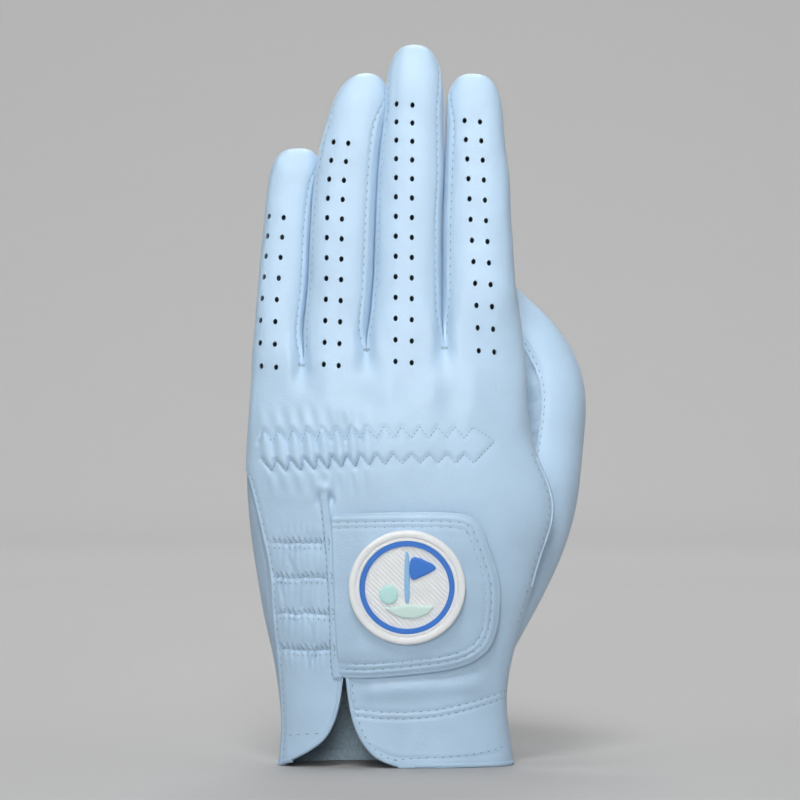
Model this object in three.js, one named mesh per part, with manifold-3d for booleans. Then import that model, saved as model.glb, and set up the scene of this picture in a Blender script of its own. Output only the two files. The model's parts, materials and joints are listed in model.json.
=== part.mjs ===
// A left-hand golf glove as it is shaped on a hand: a leather back and palm, four finger stalls with
// fourchettes between them, a set-in thumb, and a hook-and-loop tab with a round badge over the wrist slit.
// Millimetres. It stands on its cuff: +Z up the fingers, the back of the hand faces -Y, the thumb is at +X.
import * as THREE from "three";
import { mergeVertices } from "three/addons/utils/BufferGeometryUtils.js";
import Module from "manifold-3d";

const wasm = await Module();
wasm.setup();

// ---- Driving dimensions ----
const WALL = 1.0; // glove leather, doubled over at its seams
const GAP = 0.35; // between pieces that touch
const FAR = 90; // past the glove on any side
const CENTRE = [0.15, 6.7]; // the bounding box's middle in x and y
const HAND_SIDES = 36;
const FINGER_SIDES = 16;
const THUMB_SIDES = 16;
const THUMB_RINGS = 8;
const HAND_POWER = 2.5; // superellipse powers: 2 is an ellipse
const FINGER_POWER = 2.2;

const ROOT_Z = 131; // the index finger's root
const ROOT_DROP = 12; // how much lower the little finger's root lies
const ROOT_LEFT = -52;
const ROOT_RIGHT = 31.5;

// The hand's outline at each height: its left and right sides, its back and its palm.
const HAND = [
  { z: 0, left: -43.6, right: 30.2, back: -13.5, palm: 20 },
  { z: 20, left: -42.8, right: 28.4, back: -13, palm: 19.5 },
  { z: 34, left: -44.8, right: 29.8, back: -14.5, palm: 18.5 },
  { z: 52, left: -47.6, right: 36.4, back: -17.8, palm: 17 },
  { z: 76, left: -51.2, right: 42.5, back: -21.8, palm: 14 },
  { z: 98, left: -53.1, right: 37, back: -22.3, palm: 11 },
  { z: 116, left: -52.4, right: 34.2, back: -20, palm: 8 },
  { z: 131, left: -51.3, right: 31.8, back: -15.5, palm: 4 },
];

// Each finger: stations of [height, middle, half width], the height of its tip, and the sides with a fourchette.
const DEPTH_SHARE = 0.93; // a finger's depth as a share of its width
const DOME_SHARE = 0.95; // the height of its domed tip as a share of its half width
const FINGERS = {
  little: { stations: [[122, -43.1, 8.3], [158, -41.2, 7.7], [186, -38.0, 7.2]], tip: 192.7, sides: [1] },
  ring: { stations: [[127, -24.7, 9.0], [158, -24.0, 9.1], [186, -20.9, 9.0], [208, -18.0, 8.3]], tip: 216.2, sides: [-1, 1] },
  middle: { stations: [[130, -3.1, 10.7], [158, -2.2, 10.3], [186, -1.0, 9.6], [216, -0.7, 8.3]], tip: 225.2, sides: [-1, 1] },
  index: { stations: [[131, 21.1, 10.7], [158, 19.7, 10.5], [186, 18.6, 9.7], [208, 18.0, 8.6]], tip: 216.2, sides: [-1] },
};
const FINGER_Y = -5.8; // a finger's middle at its root
const FINGER_LEAN = 14; // and how far its tip falls back towards the palm
const LEAN_POWER = 1.6;
const SEAM_SHARE = 0.6; // the fourchette seams, as a share of the finger's half depth
const FLEX_SHARE = 0.5; // the flex axis, from the finger's middle towards its palm side
const FLEX_RISE = 6; // and its height over the root
const FLEX_STEP = 2.1; // height of the step behind the axis
const FLEX_RELIEF = 0.75; // slope cut from the palm side of the root, so that the finger can flex

// The thumb: points down its middle and its radius at each.
const THUMB = [
  { at: [20, 0, 40], r: 11 },
  { at: [28, 8, 58], r: 13 },
  { at: [36, 16, 80], r: 14 },
  { at: [40.2, 23, 102], r: 12.9 },
  { at: [40.6, 28.5, 120], r: 12.3 },
  { at: [34.5, 31, 134], r: 11.6 },
  { at: [27, 31.5, 143], r: 9.8 },
];
const THUMB_SPLIT = 0.64; // the bend, along the thumb, where its stall turns
const THUMB_GAP = 0.004;
const THUMB_PIVOT = 0.45; // its axis, as a share of the radius out from the thumb's middle
const THUMB_RELIEF = 0.55; // slope cut from the stall's outer side, so that the thumb can straighten

// The slit down the back: a keyhole above the tab, a narrow cut, and a mouth that opens to the hem.
const KEYHOLE = { x: -28.2, z: 85, r: 1.6 };
const SLIT_WIDTH = 1.4;
const MOUTH_TOP = { x: -21.9, z: 27 };
const MOUTH_LEFT = [[-24, 18.2], [-26.8, 10.3], [-32.5, 5.2], [-41, 1.6]];
const MOUTH_RIGHT = [[-20.2, 19.7], [-18.6, 12.8], [-15.8, 6.9], [-11.4, 3.1], [-5, -1]];

// Layers over the back, as distances out from its leather.
const LOOP = { left: -14, right: 20, low: 35, high: 73, from: 0.5, to: 1.2 };
const HOOK = { left: -6, right: 20, low: 38, high: 70, from: 1.6, to: 2.3 };
const TAB = { left: -26.3, right: 25.4, low: 29, high: 78.3, corner: 13 };
const LINING_LAYER = { from: 2.7, to: 3.2, inset: 0.8 };
const TAB_LAYER = { from: 3.6, to: 4.5 };
const CUFF_BAND = { topLeft: -19.5, bottomLeft: -8, right: 26.5, low: 2.6, high: 20, from: 0.6, to: 1.3 };
const CUFF_CURVE = 0.45; // how its left edge follows the mouth of the slit; 1 is straight
const BINDING = { width: 3.4, low: 28, high: 83, from: 0.6, to: 1.3 };

// Layers inside it, as distances in from the inner face of the leather.
const TAPE = { from: 0.5, to: 1.2 };
const KNUCKLE_TAPE = { left: -44, right: 22, low: 92, high: 104 };
const WRIST_TAPE = { left: -41, right: -31, heights: [37, 48.6, 59.5, 70], half: 2.6 };
const FACING = { left: -34, right: 20, low: 1, high: 16 };

const BADGE = { x: -3, z: 55.2, radius: 18, thick: 2.0, rim: 2.9, rimRise: 0.9 };
const RING = { outer: 14.4, inner: 12.9, thick: 0.9 };
const EMBLEM_THICK = 0.8;

// ---- Shapes ----
const point = (x, y, z) => new THREE.Vector3(x, y, z);
const lerp = THREE.MathUtils.lerp;

// A closed skin over rings that each run anticlockwise seen from the last ring, fanned shut at both ends.
function loft(rings) {
  const sides = rings[0].length;
  const middleOf = (ring) => ring.reduce((sum, p) => sum.add(p), point(0, 0, 0)).divideScalar(sides);
  const points = [...rings.flat(), middleOf(rings[0]), middleOf(rings.at(-1))];
  const [bottom, top, last] = [points.length - 2, points.length - 1, (rings.length - 1) * sides];
  const index = [];
  for (let i = 0; i < sides; i++) {
    const j = (i + 1) % sides;
    for (let r = 0; r < last; r += sides) {
      index.push(r + i, r + j, r + sides + j, r + i, r + sides + j, r + sides + i);
    }
    index.push(bottom, j, i, top, last + i, last + j);
  }
  return new THREE.BufferGeometry().setFromPoints(points).setIndex(index);
}

// A closed sheet between the surfaces at(u, v, from) and at(u, v, to), where u and v run from 0 to 1.
function sheet(at, from, to, columns, rows) {
  const wide = columns + 1;
  const layer = (depth) => Array.from({ length: wide * (rows + 1) }, (_, i) =>
    at((i % wide) / columns, Math.floor(i / wide) / rows, depth));
  const points = [...layer(to), ...layer(from)];
  const under = points.length / 2;
  const index = [];
  const quad = (a, b, c, d) => index.push(a, b, c, a, c, d);
  for (let row = 0; row < rows; row++) {
    for (let column = 0; column < columns; column++) {
      const a = row * wide + column;
      quad(a, a + 1, a + wide + 1, a + wide);
      quad(under + a, under + a + wide, under + a + wide + 1, under + a + 1);
    }
    const [left, right] = [row * wide, row * wide + columns];
    quad(left, left + wide, under + left + wide, under + left);
    quad(right + wide, right, under + right, under + right + wide);
  }
  for (let column = 0; column < columns; column++) {
    const [low, high] = [column, rows * wide + column];
    quad(low + 1, low, under + low, under + low + 1);
    quad(high, high + 1, under + high + 1, under + high);
  }
  return new THREE.BufferGeometry().setFromPoints(points).setIndex(index);
}

function toSolid(geometry) {
  const bare = geometry.clone();
  bare.deleteAttribute("normal");
  bare.deleteAttribute("uv");
  const merged = mergeVertices(bare, 1e-4);
  return new wasm.Manifold(
    new wasm.Mesh({
      numProp: 3,
      vertProperties: merged.attributes.position.array,
      triVerts: new Uint32Array(merged.index.array),
    }),
  );
}

function toGeometry(solid) {
  const mesh = solid.getMesh();
  return new THREE.BufferGeometry()
    .setAttribute("position", new THREE.BufferAttribute(mesh.vertProperties, 3))
    .setIndex(new THREE.BufferAttribute(mesh.triVerts, 1));
}

// The named values of a list of stations at a height, straight between its neighbours and beyond its ends.
function between(stations, z) {
  const above = stations.findIndex((s) => s.z > z);
  const i = above < 0 ? stations.length - 2 : Math.max(above - 1, 0);
  const [low, high] = [stations[i], stations[i + 1]];
  const share = (z - low.z) / (high.z - low.z);
  return Object.fromEntries(Object.keys(low).map((key) => [key, lerp(low[key], high[key], share)]));
}

const power = (value, exponent) => Math.sign(value) * Math.abs(value) ** exponent;

function superellipse(x, y, halfX, halfY, exponent, sides) {
  return Array.from({ length: sides }, (_, i) => {
    const angle = (2 * Math.PI * i) / sides;
    return [x + halfX * power(Math.cos(angle), 2 / exponent), y + halfY * power(Math.sin(angle), 2 / exponent)];
  });
}

// The height of the line where the fingers leave the hand.
function rootLine(x) {
  const share = THREE.MathUtils.clamp((ROOT_RIGHT - x) / (ROOT_RIGHT - ROOT_LEFT), 0, 1);
  return ROOT_Z - ROOT_DROP * share ** 2.6;
}

// ---- The hand ----
function handRing(level, out) {
  const s = between(HAND, level);
  const outline = superellipse((s.left + s.right) / 2, (s.back + s.palm) / 2,
    (s.right - s.left) / 2 + out, (s.palm - s.back) / 2 + out, HAND_POWER, HAND_SIDES);
  return outline.map(([x, y]) => point(x, y, (level * rootLine(x)) / ROOT_Z));
}

const handLevels = HAND.map((s) => s.z);
const handSolid = (out) => toSolid(loft(handLevels.map((z) => handRing(z, out))));
const handInside = toSolid(loft([-4, ...handLevels.slice(1, -1), ROOT_Z + 4].map((z) => handRing(z, -WALL))));

// The outer face of the hand's back at a place, and the point that far out from it.
function backFace(x, z, out) {
  const s = between(HAND, (z * ROOT_Z) / rootLine(x));
  const share = (2 * x - s.left - s.right) / (s.right - s.left);
  const y = (s.back + s.palm) / 2 - ((s.palm - s.back) / 2) * (1 - Math.abs(share) ** HAND_POWER) ** (1 / HAND_POWER);
  return point(x, y - out, z);
}

function palmFace(x, z, out) {
  const s = between(HAND, z);
  const back = backFace(x, z, 0);
  return point(x, s.back + s.palm - back.y + out, z);
}

// Everything on the back's side of the side seam, which runs at y = seam on the left and y = fold on the right.
const SEAM = [
  { z: -10, y: -2 }, { z: 27, y: -3 }, { z: 42, y: -10 }, { z: 70, y: -11 }, { z: 95, y: -6 }, { z: 104, y: 0 }, { z: 150, y: 0 },
];
const FOLD_Y = 4;
function backSide(shift) {
  return toSolid(loft(SEAM.map(({ z, y }) => [
    point(-FAR, -FAR, z), point(FAR, -FAR, z), point(FAR, FOLD_Y + shift, z), point(-FAR, y + shift, z),
  ])));
}

function slitCutter() {
  const outline = new THREE.Shape();
  outline.moveTo(MOUTH_TOP.x + SLIT_WIDTH / 2, MOUTH_TOP.z);
  outline.splineThru(MOUTH_RIGHT.map(([x, z]) => new THREE.Vector2(x, z)));
  outline.lineTo(MOUTH_LEFT.at(-1)[0], -1);
  outline.lineTo(...MOUTH_LEFT.at(-1));
  outline.splineThru(MOUTH_LEFT.slice(0, -1).reverse().map(([x, z]) => new THREE.Vector2(x, z)));
  outline.lineTo(MOUTH_TOP.x - SLIT_WIDTH / 2, MOUTH_TOP.z);
  outline.lineTo(KEYHOLE.x - SLIT_WIDTH / 2, KEYHOLE.z);
  outline.absarc(KEYHOLE.x, KEYHOLE.z, KEYHOLE.r, Math.PI * 1.1, -Math.PI * 0.1, true);
  outline.closePath();
  const cutter = new THREE.ExtrudeGeometry(outline, { depth: 40, bevelEnabled: false, curveSegments: 4 });
  return toSolid(cutter.rotateX(Math.PI / 2));
}

// ---- The fingers ----
function fingerAt(finger, z) {
  const stations = finger.stations.map(([height, x, half]) => ({ z: height, x, half }));
  const s = between(stations, Math.min(z, stations.at(-1).z));
  const root = stations[0].z;
  const share = THREE.MathUtils.clamp((z - root) / (finger.tip - root), 0, 1);
  return { x: s.x, y: FINGER_Y + FINGER_LEAN * share ** LEAN_POWER, half: s.half };
}

// The height of the finger's root at a place on its rim, with the palm side cut back for the flex.
function fingerFoot(x, y, flexY) {
  return rootLine(x) + GAP + Math.max(0, y - flexY) * FLEX_RELIEF + (y > flexY ? FLEX_STEP : 0);
}

function fingerSolid(finger, out) {
  const top = finger.tip + out;
  const dome = DOME_SHARE * finger.stations.at(-1)[2];
  const shoulder = finger.tip - dome;
  const root = finger.stations[0][0];
  const flexY = flexAxis(finger).y;
  const ringAt = (z, share, foot) => {
    const s = fingerAt(finger, z);
    const half = (s.half + out) * share;
    return superellipse(s.x, s.y, half, half * DEPTH_SHARE, FINGER_POWER, FINGER_SIDES)
      .map(([x, y]) => point(x, y, foot ? foot(x, y) : z));
  };
  const foot = out < 0 ? (x) => rootLine(x) - 3 : (x, y) => fingerFoot(x, y, flexY);
  const heights = [0.25, 0.5, 0.75, 1].map((share) => lerp(root + 4, shoulder, share));
  const domeAngles = [30, 57, 79].map(THREE.MathUtils.degToRad);
  return toSolid(loft([
    ringAt(root, 1, foot),
    ...heights.map((z) => ringAt(z, 1)),
    ...domeAngles.map((a) => ringAt(shoulder + (top - shoulder) * Math.sin(a), Math.cos(a))),
  ]));
}

// The flex axis crosses the finger at its root, square to the finger's own line.
function flexAxis(finger) {
  const root = finger.stations[0][0];
  const [low, high] = [fingerAt(finger, root), fingerAt(finger, finger.tip)];
  const half = low.half * DEPTH_SHARE;
  return { x: low.x, y: FINGER_Y + half * FLEX_SHARE, z: rootLine(low.x) + FLEX_RISE, lean: (high.x - low.x) / (finger.tip - root) };
}

// A block that follows the finger's middle: x and y limits as offsets from it.
function along(finger, low, high, limits) {
  return toSolid(loft([low, lerp(low, high, 0.35), lerp(low, high, 0.7), high].map((z) => {
    const s = fingerAt(finger, z);
    return limits(s).map(([x, y]) => point(s.x + x, s.y + y, z));
  })));
}

function fingerPieces(name, finger) {
  const shell = fingerSolid(finger, 0).subtract(fingerSolid(finger, -WALL));
  const low = finger.stations[0][0] - ROOT_DROP;
  const seamTop = finger.tip - DOME_SHARE * finger.stations.at(-1)[2] - 1;
  const outer = finger.sides.length === 2 ? 0 : -finger.sides[0]; // the side that is folded, not sewn
  const strip = (side, grow, top) => along(finger, low, top, (s) => {
    const deep = s.half * DEPTH_SHARE * SEAM_SHARE + grow;
    const [near, far] = [side * s.half * 0.2, side * (s.half + 5)];
    const [left, right] = [Math.min(near, far), Math.max(near, far)];
    return [[left, -deep], [right, -deep], [right, deep], [left, deep]];
  });
  const backHalf = (shift) => along(finger, low, finger.tip + 5, (s) => {
    const fold = 0.4 * s.half;
    const [atLeft, atRight] = [outer < 0 ? fold : 0, outer > 0 ? fold : 0];
    return [[-FAR, -FAR], [FAR, -FAR], [FAR, atRight + shift], [-FAR, atLeft + shift]];
  });
  let covers = shell;
  for (const side of finger.sides) covers = covers.subtract(strip(side, GAP, seamTop + GAP));
  const pieces = {
    [`${name}_back`]: covers.intersect(backHalf(-GAP / 2)),
    [`${name}_palm`]: covers.subtract(backHalf(GAP / 2)),
  };
  for (const side of finger.sides) {
    pieces[`${name}_fourchette_${side < 0 ? "left" : "right"}`] = shell.intersect(strip(side, 0, seamTop));
  }
  return pieces;
}

// ---- The thumb ----
const thumbLine = new THREE.CatmullRomCurve3(THUMB.map(({ at }) => point(...at)));

function thumbRadius(t) {
  const place = THREE.MathUtils.clamp(t, 0, 1) * (THUMB.length - 1);
  const i = Math.min(Math.floor(place), THUMB.length - 2);
  return lerp(THUMB[i].r, THUMB[i + 1].r, place - i);
}

function thumbRing(t, radius) {
  const [middle, ahead] = [thumbLine.getPoint(t), thumbLine.getTangent(t)];
  const deep = point(0, 1, 0).addScaledVector(ahead, -ahead.y).normalize();
  const across = new THREE.Vector3().crossVectors(deep, ahead);
  return Array.from({ length: THUMB_SIDES }, (_, i) => {
    const angle = (2 * Math.PI * i) / THUMB_SIDES;
    return middle.clone().addScaledVector(across, radius * Math.cos(angle)).addScaledVector(deep, radius * Math.sin(angle));
  });
}

// The thumb's solid between two places along it; one that reaches 1 gets a domed tip.
function thumbSolid(out, from, to) {
  const stations = Array.from({ length: THUMB_RINGS }, (_, i) => lerp(from, to, i / (THUMB_RINGS - 1)));
  const rings = stations.map((t) => thumbRing(t, thumbRadius(t) + out));
  if (to === 1) {
    const [tip, ahead, radius] = [thumbLine.getPoint(1), thumbLine.getTangent(1), thumbRadius(1) + out];
    for (const degrees of [30, 55, 76]) {
      const a = THREE.MathUtils.degToRad(degrees);
      rings.push(thumbRing(1, radius * Math.cos(a)).map((p) => p.addScaledVector(ahead, radius * 0.8 * Math.sin(a))));
    }
  }
  return toSolid(loft(rings));
}

// Everything on the back's side of the thumb's middle.
function thumbBackHalf(shift) {
  const stations = [-0.02, 0.2, 0.4, 0.6, 0.8, 1];
  const rings = stations.map((t) => {
    const middle = thumbLine.getPoint(Math.max(t, 0));
    const z = t === 1 ? middle.z + 30 : t < 0 ? middle.z - 30 : middle.z;
    return [point(-FAR, -FAR, z), point(FAR, -FAR, z), point(FAR, middle.y + shift, z), point(-FAR, middle.y + shift, z)];
  });
  return toSolid(loft(rings));
}

// The thumb's hinge: its axis crosses the thumb towards the outer side, so that the stall opens on the inner side.
function thumbHinge() {
  const [middle, ahead] = [thumbLine.getPoint(THUMB_SPLIT), thumbLine.getTangent(THUMB_SPLIT)];
  const deep = point(0, 1, 0).addScaledVector(ahead, -ahead.y).normalize();
  const across = new THREE.Vector3().crossVectors(deep, ahead);
  return { at: middle.addScaledVector(across, THUMB_PIVOT * thumbRadius(THUMB_SPLIT)), deep, across, ahead };
}

// A wedge over the thumb's outer side, with its edge on the hinge.
function thumbRelief() {
  const { at, deep, across, ahead } = thumbHinge();
  const reach = 20;
  const corner = (out, up, side) => at.clone().addScaledVector(across, out).addScaledVector(ahead, up).addScaledVector(deep, side);
  return toSolid(loft([reach, -reach].map((side) => [
    corner(0, -reach, side), corner(reach, -reach, side), corner(reach, reach * THUMB_RELIEF, side), corner(0, 0, side),
  ])));
}

function thumbPieces() {
  const hollow = thumbSolid(-WALL, 0, 1);
  const clear = handSolid(GAP);
  const base = thumbSolid(0, 0, THUMB_SPLIT - THUMB_GAP).subtract(hollow).subtract(clear);
  const stall = thumbSolid(0, THUMB_SPLIT + THUMB_GAP, 1).subtract(hollow).subtract(thumbRelief());
  return {
    thumb_base_back: largest(base.intersect(thumbBackHalf(-GAP / 2))),
    thumb_base_palm: largest(base.subtract(thumbBackHalf(GAP / 2))),
    thumb_stall_back: stall.intersect(thumbBackHalf(-GAP / 2)),
    thumb_stall_palm: stall.subtract(thumbBackHalf(GAP / 2)),
  };
}

// The biggest of a solid's separate bodies: a cut can leave a crumb beside it.
function largest(solid) {
  return solid.decompose().sort((a, b) => b.volume() - a.volume())[0];
}

// ---- Layers on the back ----
// A sheet over the hand's back between left(v) and right(v), from low to high.
function backSheet({ left, right, low, high, from, to }, columns, rows) {
  const edge = (side, v) => (typeof side === "function" ? side(v) : side);
  const at = (u, v, out) => backFace(lerp(edge(left, v), edge(right, v), u), lerp(low, high, v), out);
  return toSolid(sheet(at, from, to, columns, rows));
}

// The tab's outline: straight at its sewn edge, with two round corners at its free end.
function tabSheet({ from, to, inset = 0 }) {
  const [low, high] = [TAB.low + inset, TAB.high - inset];
  const right = (v) => {
    const z = lerp(low, high, v);
    const over = Math.max(0, TAB.corner - inset - Math.min(z - low, high - z)) / (TAB.corner - inset);
    return TAB.right - inset - (TAB.corner - inset) * (1 - Math.sqrt(1 - Math.min(over, 0.985) ** 2));
  };
  return backSheet({ left: TAB.left, right, low, high, from, to }, 8, 14);
}

function bindingSheet() {
  const { low, high, width } = BINDING;
  const edge = (v) => lerp(MOUTH_TOP.x, KEYHOLE.x, (lerp(low, high, v) - MOUTH_TOP.z) / (KEYHOLE.z - MOUTH_TOP.z)) - SLIT_WIDTH / 2 - GAP;
  return backSheet({ ...BINDING, left: (v) => edge(v) - width, right: edge }, 2, 6);
}

// ---- Layers inside ----
function insideSheet(face, { left, right, low, high }, columns, rows) {
  const at = (u, v, deep) => face(lerp(left, right, u), lerp(low, high, v), -WALL - deep);
  const depths = face === palmFace ? [TAPE.from, TAPE.to] : [TAPE.to, TAPE.from];
  return toSolid(sheet(at, ...depths, columns, rows));
}

// ---- The badge, standing off the tab and leaning with it ----
const badgeLean = Math.atan((backFace(BADGE.x, BADGE.z - 10, 0).y - backFace(BADGE.x, BADGE.z + 10, 0).y) / 20);
const badgeFoot = backFace(BADGE.x, BADGE.z, TAB_LAYER.to + GAP).y;

// A solid made at the origin facing -Y, set at a height off the badge's foot.
function onBadge(solid, height) {
  const [back, down] = [Math.cos(badgeLean), Math.sin(badgeLean)];
  return solid.rotate([THREE.MathUtils.radToDeg(badgeLean), 0, 0])
    .translate([BADGE.x, badgeFoot - height * back, BADGE.z - height * down]);
}

// A profile of [radius, height off the tab], turned about the badge's axis.
function turned(profile, height) {
  const shape = new THREE.LatheGeometry(profile.map(([r, h]) => new THREE.Vector2(r, h)), 32);
  return onBadge(toSolid(shape.rotateX(Math.PI)), height);
}

// A flat outline in the badge's own x and z, raised towards the front.
function raised(shape, height) {
  const made = new THREE.ExtrudeGeometry(shape, { depth: EMBLEM_THICK, bevelEnabled: false, curveSegments: 6 });
  return onBadge(toSolid(made.rotateX(Math.PI / 2)), height);
}

function polygon(points) {
  return new THREE.Shape(points.map(([x, z]) => new THREE.Vector2(x, z)));
}

// A pennant on its pole, a ball, and the green that they stand on.
function badgePieces() {
  const { radius, thick, rim, rimRise } = BADGE;
  const face = thick + GAP;
  const ball = new THREE.Shape().absarc(-4.6, -3.4, 2.1, 0, Math.PI * 2);
  const green = new THREE.Shape();
  green.absarc(0, -2, 7.6, -Math.PI * 0.88, -Math.PI * 0.12);
  green.quadraticCurveTo(0, -7.4, -7.05, -4.8);
  const crown = thick + rimRise;
  return {
    badge_base: turned([[0, 0], [radius, 0], [radius, crown - 0.6], [radius - 0.6, crown],
      [radius - rim + 0.6, crown], [radius - rim, thick], [0, thick]], 0),
    badge_ring: turned([[RING.inner, 0], [RING.outer, 0], [RING.outer, RING.thick], [RING.inner, RING.thick], [RING.inner, 0]], face),
    emblem_pole: raised(polygon([[-0.5, -4.9], [0.5, -4.9], [0.5, 8.6], [-0.5, 8.6]]), face),
    emblem_pennant: raised(polygon([[0.9, 2.2], [7.4, 5.2], [0.9, 8.2]]), face),
    emblem_ball: raised(ball, face),
    emblem_green: raised(green, face),
  };
}

// ---- Assembly ----
const LEATHER = { color: 0x9fbfdd, roughness: 0.55, metalness: 0 };
const SUEDE = { color: 0x6f8da6, roughness: 0.95, metalness: 0 };
const ELASTIC = { color: 0x93a9bd, roughness: 0.9, metalness: 0 };
const WHITE_RUBBER = { color: 0xe8eaec, roughness: 0.45, metalness: 0 };
const FINISH = {
  palm_cuff_facing: SUEDE, tab_lining: SUEDE, loop_patch: SUEDE, hook_patch: ELASTIC, knuckle_elastic: ELASTIC,
  badge_base: WHITE_RUBBER,
  badge_ring: { color: 0x3b7bd0, roughness: 0.4, metalness: 0 },
  emblem_pennant: { color: 0x3b7bd0, roughness: 0.4, metalness: 0 },
  emblem_pole: { color: 0x8fb9e6, roughness: 0.4, metalness: 0 },
  emblem_ball: { color: 0xb4dfe0, roughness: 0.4, metalness: 0 },
  emblem_green: { color: 0xc4ddd4, roughness: 0.4, metalness: 0 },
};

const handShell = handSolid(0).subtract(handInside).subtract(thumbSolid(-WALL - GAP, 0, 1));
const solids = {
  back_panel: largest(handShell.intersect(backSide(-GAP / 2)).subtract(slitCutter())),
  palm_panel: largest(handShell.subtract(backSide(GAP / 2))),
  knuckle_elastic: insideSheet(backFace, KNUCKLE_TAPE, 12, 2),
  palm_cuff_facing: insideSheet(palmFace, FACING, 12, 2),
  slit_binding: bindingSheet(),
  cuff_band: backSheet({
    ...CUFF_BAND,
    left: (v) => lerp(CUFF_BAND.bottomLeft, CUFF_BAND.topLeft, v ** CUFF_CURVE),
  }, 10, 5),
  loop_patch: backSheet(LOOP, 8, 6),
  hook_patch: backSheet(HOOK, 6, 6),
  tab_lining: tabSheet(LINING_LAYER),
  closure_tab: tabSheet(TAB_LAYER),
  ...badgePieces(),
  ...thumbPieces(),
};
WRIST_TAPE.heights.forEach((z, i) => {
  const span = { ...WRIST_TAPE, low: z - WRIST_TAPE.half, high: z + WRIST_TAPE.half };
  solids[`wrist_elastic_${i + 1}`] = insideSheet(backFace, span, 4, 1);
});
for (const [name, finger] of Object.entries(FINGERS)) Object.assign(solids, fingerPieces(name, finger));

const glove = new THREE.Group();
for (const [name, solid] of Object.entries(solids)) {
  const finish = FINISH[name] ?? (name.startsWith("wrist_elastic") ? ELASTIC : LEATHER);
  const mesh = new THREE.Mesh(toGeometry(solid), new THREE.MeshStandardMaterial(finish));
  mesh.name = name;
  mesh.position.set(-CENTRE[0], -CENTRE[1], 0);
  glove.add(mesh);
}

export default glove;
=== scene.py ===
"""A left-hand golf glove in pale blue cabretta leather, shaped as on a display hand and standing on its cuff.

Lengths in the shape code are millimetres in the frame's own axes: +Z up the fingers, -Y out of the back
of the hand, +X towards the thumb. They become metres where a mesh is made.
"""

import json
import math

import bmesh
import bpy
import numpy as np
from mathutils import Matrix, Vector
from mathutils.bvhtree import BVHTree


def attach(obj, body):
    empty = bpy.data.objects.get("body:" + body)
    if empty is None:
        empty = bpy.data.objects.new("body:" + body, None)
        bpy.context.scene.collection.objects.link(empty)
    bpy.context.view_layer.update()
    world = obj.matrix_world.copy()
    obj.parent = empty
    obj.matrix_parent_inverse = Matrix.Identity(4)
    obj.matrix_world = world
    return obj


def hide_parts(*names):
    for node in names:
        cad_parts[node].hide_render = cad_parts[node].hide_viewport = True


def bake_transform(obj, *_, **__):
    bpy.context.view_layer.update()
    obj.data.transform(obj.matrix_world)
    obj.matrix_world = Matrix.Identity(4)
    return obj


MM = 0.001
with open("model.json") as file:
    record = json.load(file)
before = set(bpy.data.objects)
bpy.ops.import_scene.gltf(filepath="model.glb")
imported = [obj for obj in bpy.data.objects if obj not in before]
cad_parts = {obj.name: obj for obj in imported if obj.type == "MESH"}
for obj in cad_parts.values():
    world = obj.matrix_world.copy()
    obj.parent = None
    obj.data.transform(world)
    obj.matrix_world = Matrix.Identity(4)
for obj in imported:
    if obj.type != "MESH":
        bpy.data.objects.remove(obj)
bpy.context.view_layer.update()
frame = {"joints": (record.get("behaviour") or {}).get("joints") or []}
JOINTS = {joint["name"]: joint for joint in frame["joints"]}
FINGERS = ("little", "ring", "middle", "index")
LEATHER_THICKNESS = 0.7


# ---- Numbers and curves ----
def ease(low, high, x):
    """0 below low, 1 above high, smooth between."""
    share = np.clip((np.asarray(x, float) - low) / (high - low), 0, 1)
    return share * share * (3 - 2 * share)


def hump(x, centre, width):
    return np.exp(-(((x - centre) / width) ** 2))


def lerp(a, b, share):
    return a + (b - a) * share


def power(value, exponent):
    return np.sign(value) * np.abs(value) ** exponent


def spline(*pairs):
    """A smooth function through (place, value) pairs, held level past its ends."""
    places, values = np.array(pairs, float).T
    gaps, slopes = np.diff(places), np.diff(values) / np.diff(places)
    matrix = np.eye(len(places))
    right = np.zeros(len(places))
    for i in range(1, len(places) - 1):
        matrix[i, i - 1 : i + 2] = gaps[i - 1], 2 * (gaps[i - 1] + gaps[i]), gaps[i]
        right[i] = 6 * (slopes[i] - slopes[i - 1])
    bend = np.linalg.solve(matrix, right)

    def value(x):
        x = np.clip(np.asarray(x, float), places[0], places[-1])
        i = np.clip(np.searchsorted(places, x) - 1, 0, len(gaps) - 1)
        gap, below, above = gaps[i], x - places[i], places[i + 1] - x
        curve = (bend[i] * above**3 + bend[i + 1] * below**3) / (6 * gap)
        low = values[i] / gap - bend[i] * gap / 6
        high = values[i + 1] / gap - bend[i + 1] * gap / 6
        return curve + low * above + high * below

    return value


def noise(x, z, size, seed):
    """Smooth noise from -1 to 1 whose patches are about size across."""
    table = np.random.default_rng(seed).uniform(-1, 1, (64, 64))
    u, v = np.asarray(x, float) / size, np.asarray(z, float) / size
    i, j = np.floor(u).astype(int), np.floor(v).astype(int)
    a, b = ease(0, 1, u - i), ease(0, 1, v - j)
    corner = lambda di, dj: table[(i + di) % 64, (j + dj) % 64]
    return lerp(lerp(corner(0, 0), corner(1, 0), a), lerp(corner(0, 1), corner(1, 1), a), b)


def walk_along(points):
    """How far along a polyline each of its points is."""
    return np.concatenate([[0], np.cumsum(np.linalg.norm(np.diff(points, axis=0), axis=1))])


def length_of(line):
    return np.sum(np.linalg.norm(np.diff(line, axis=0), axis=1))


def unit_rows(rows):
    return rows / np.linalg.norm(rows, axis=1, keepdims=True)


def left_of(ahead):
    """Unit vectors to the left of directions in a plane."""
    ahead = unit_rows(ahead)
    return np.stack([-ahead[:, 1], ahead[:, 0]], axis=1)


def resampled(points, count):
    """The points of a polyline, evenly spaced along it."""
    points = np.asarray(points, float)
    walked = walk_along(points)
    places = np.linspace(0, walked[-1], count)
    return np.stack([np.interp(places, walked, points[:, k]) for k in range(points.shape[1])], axis=1)


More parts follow.
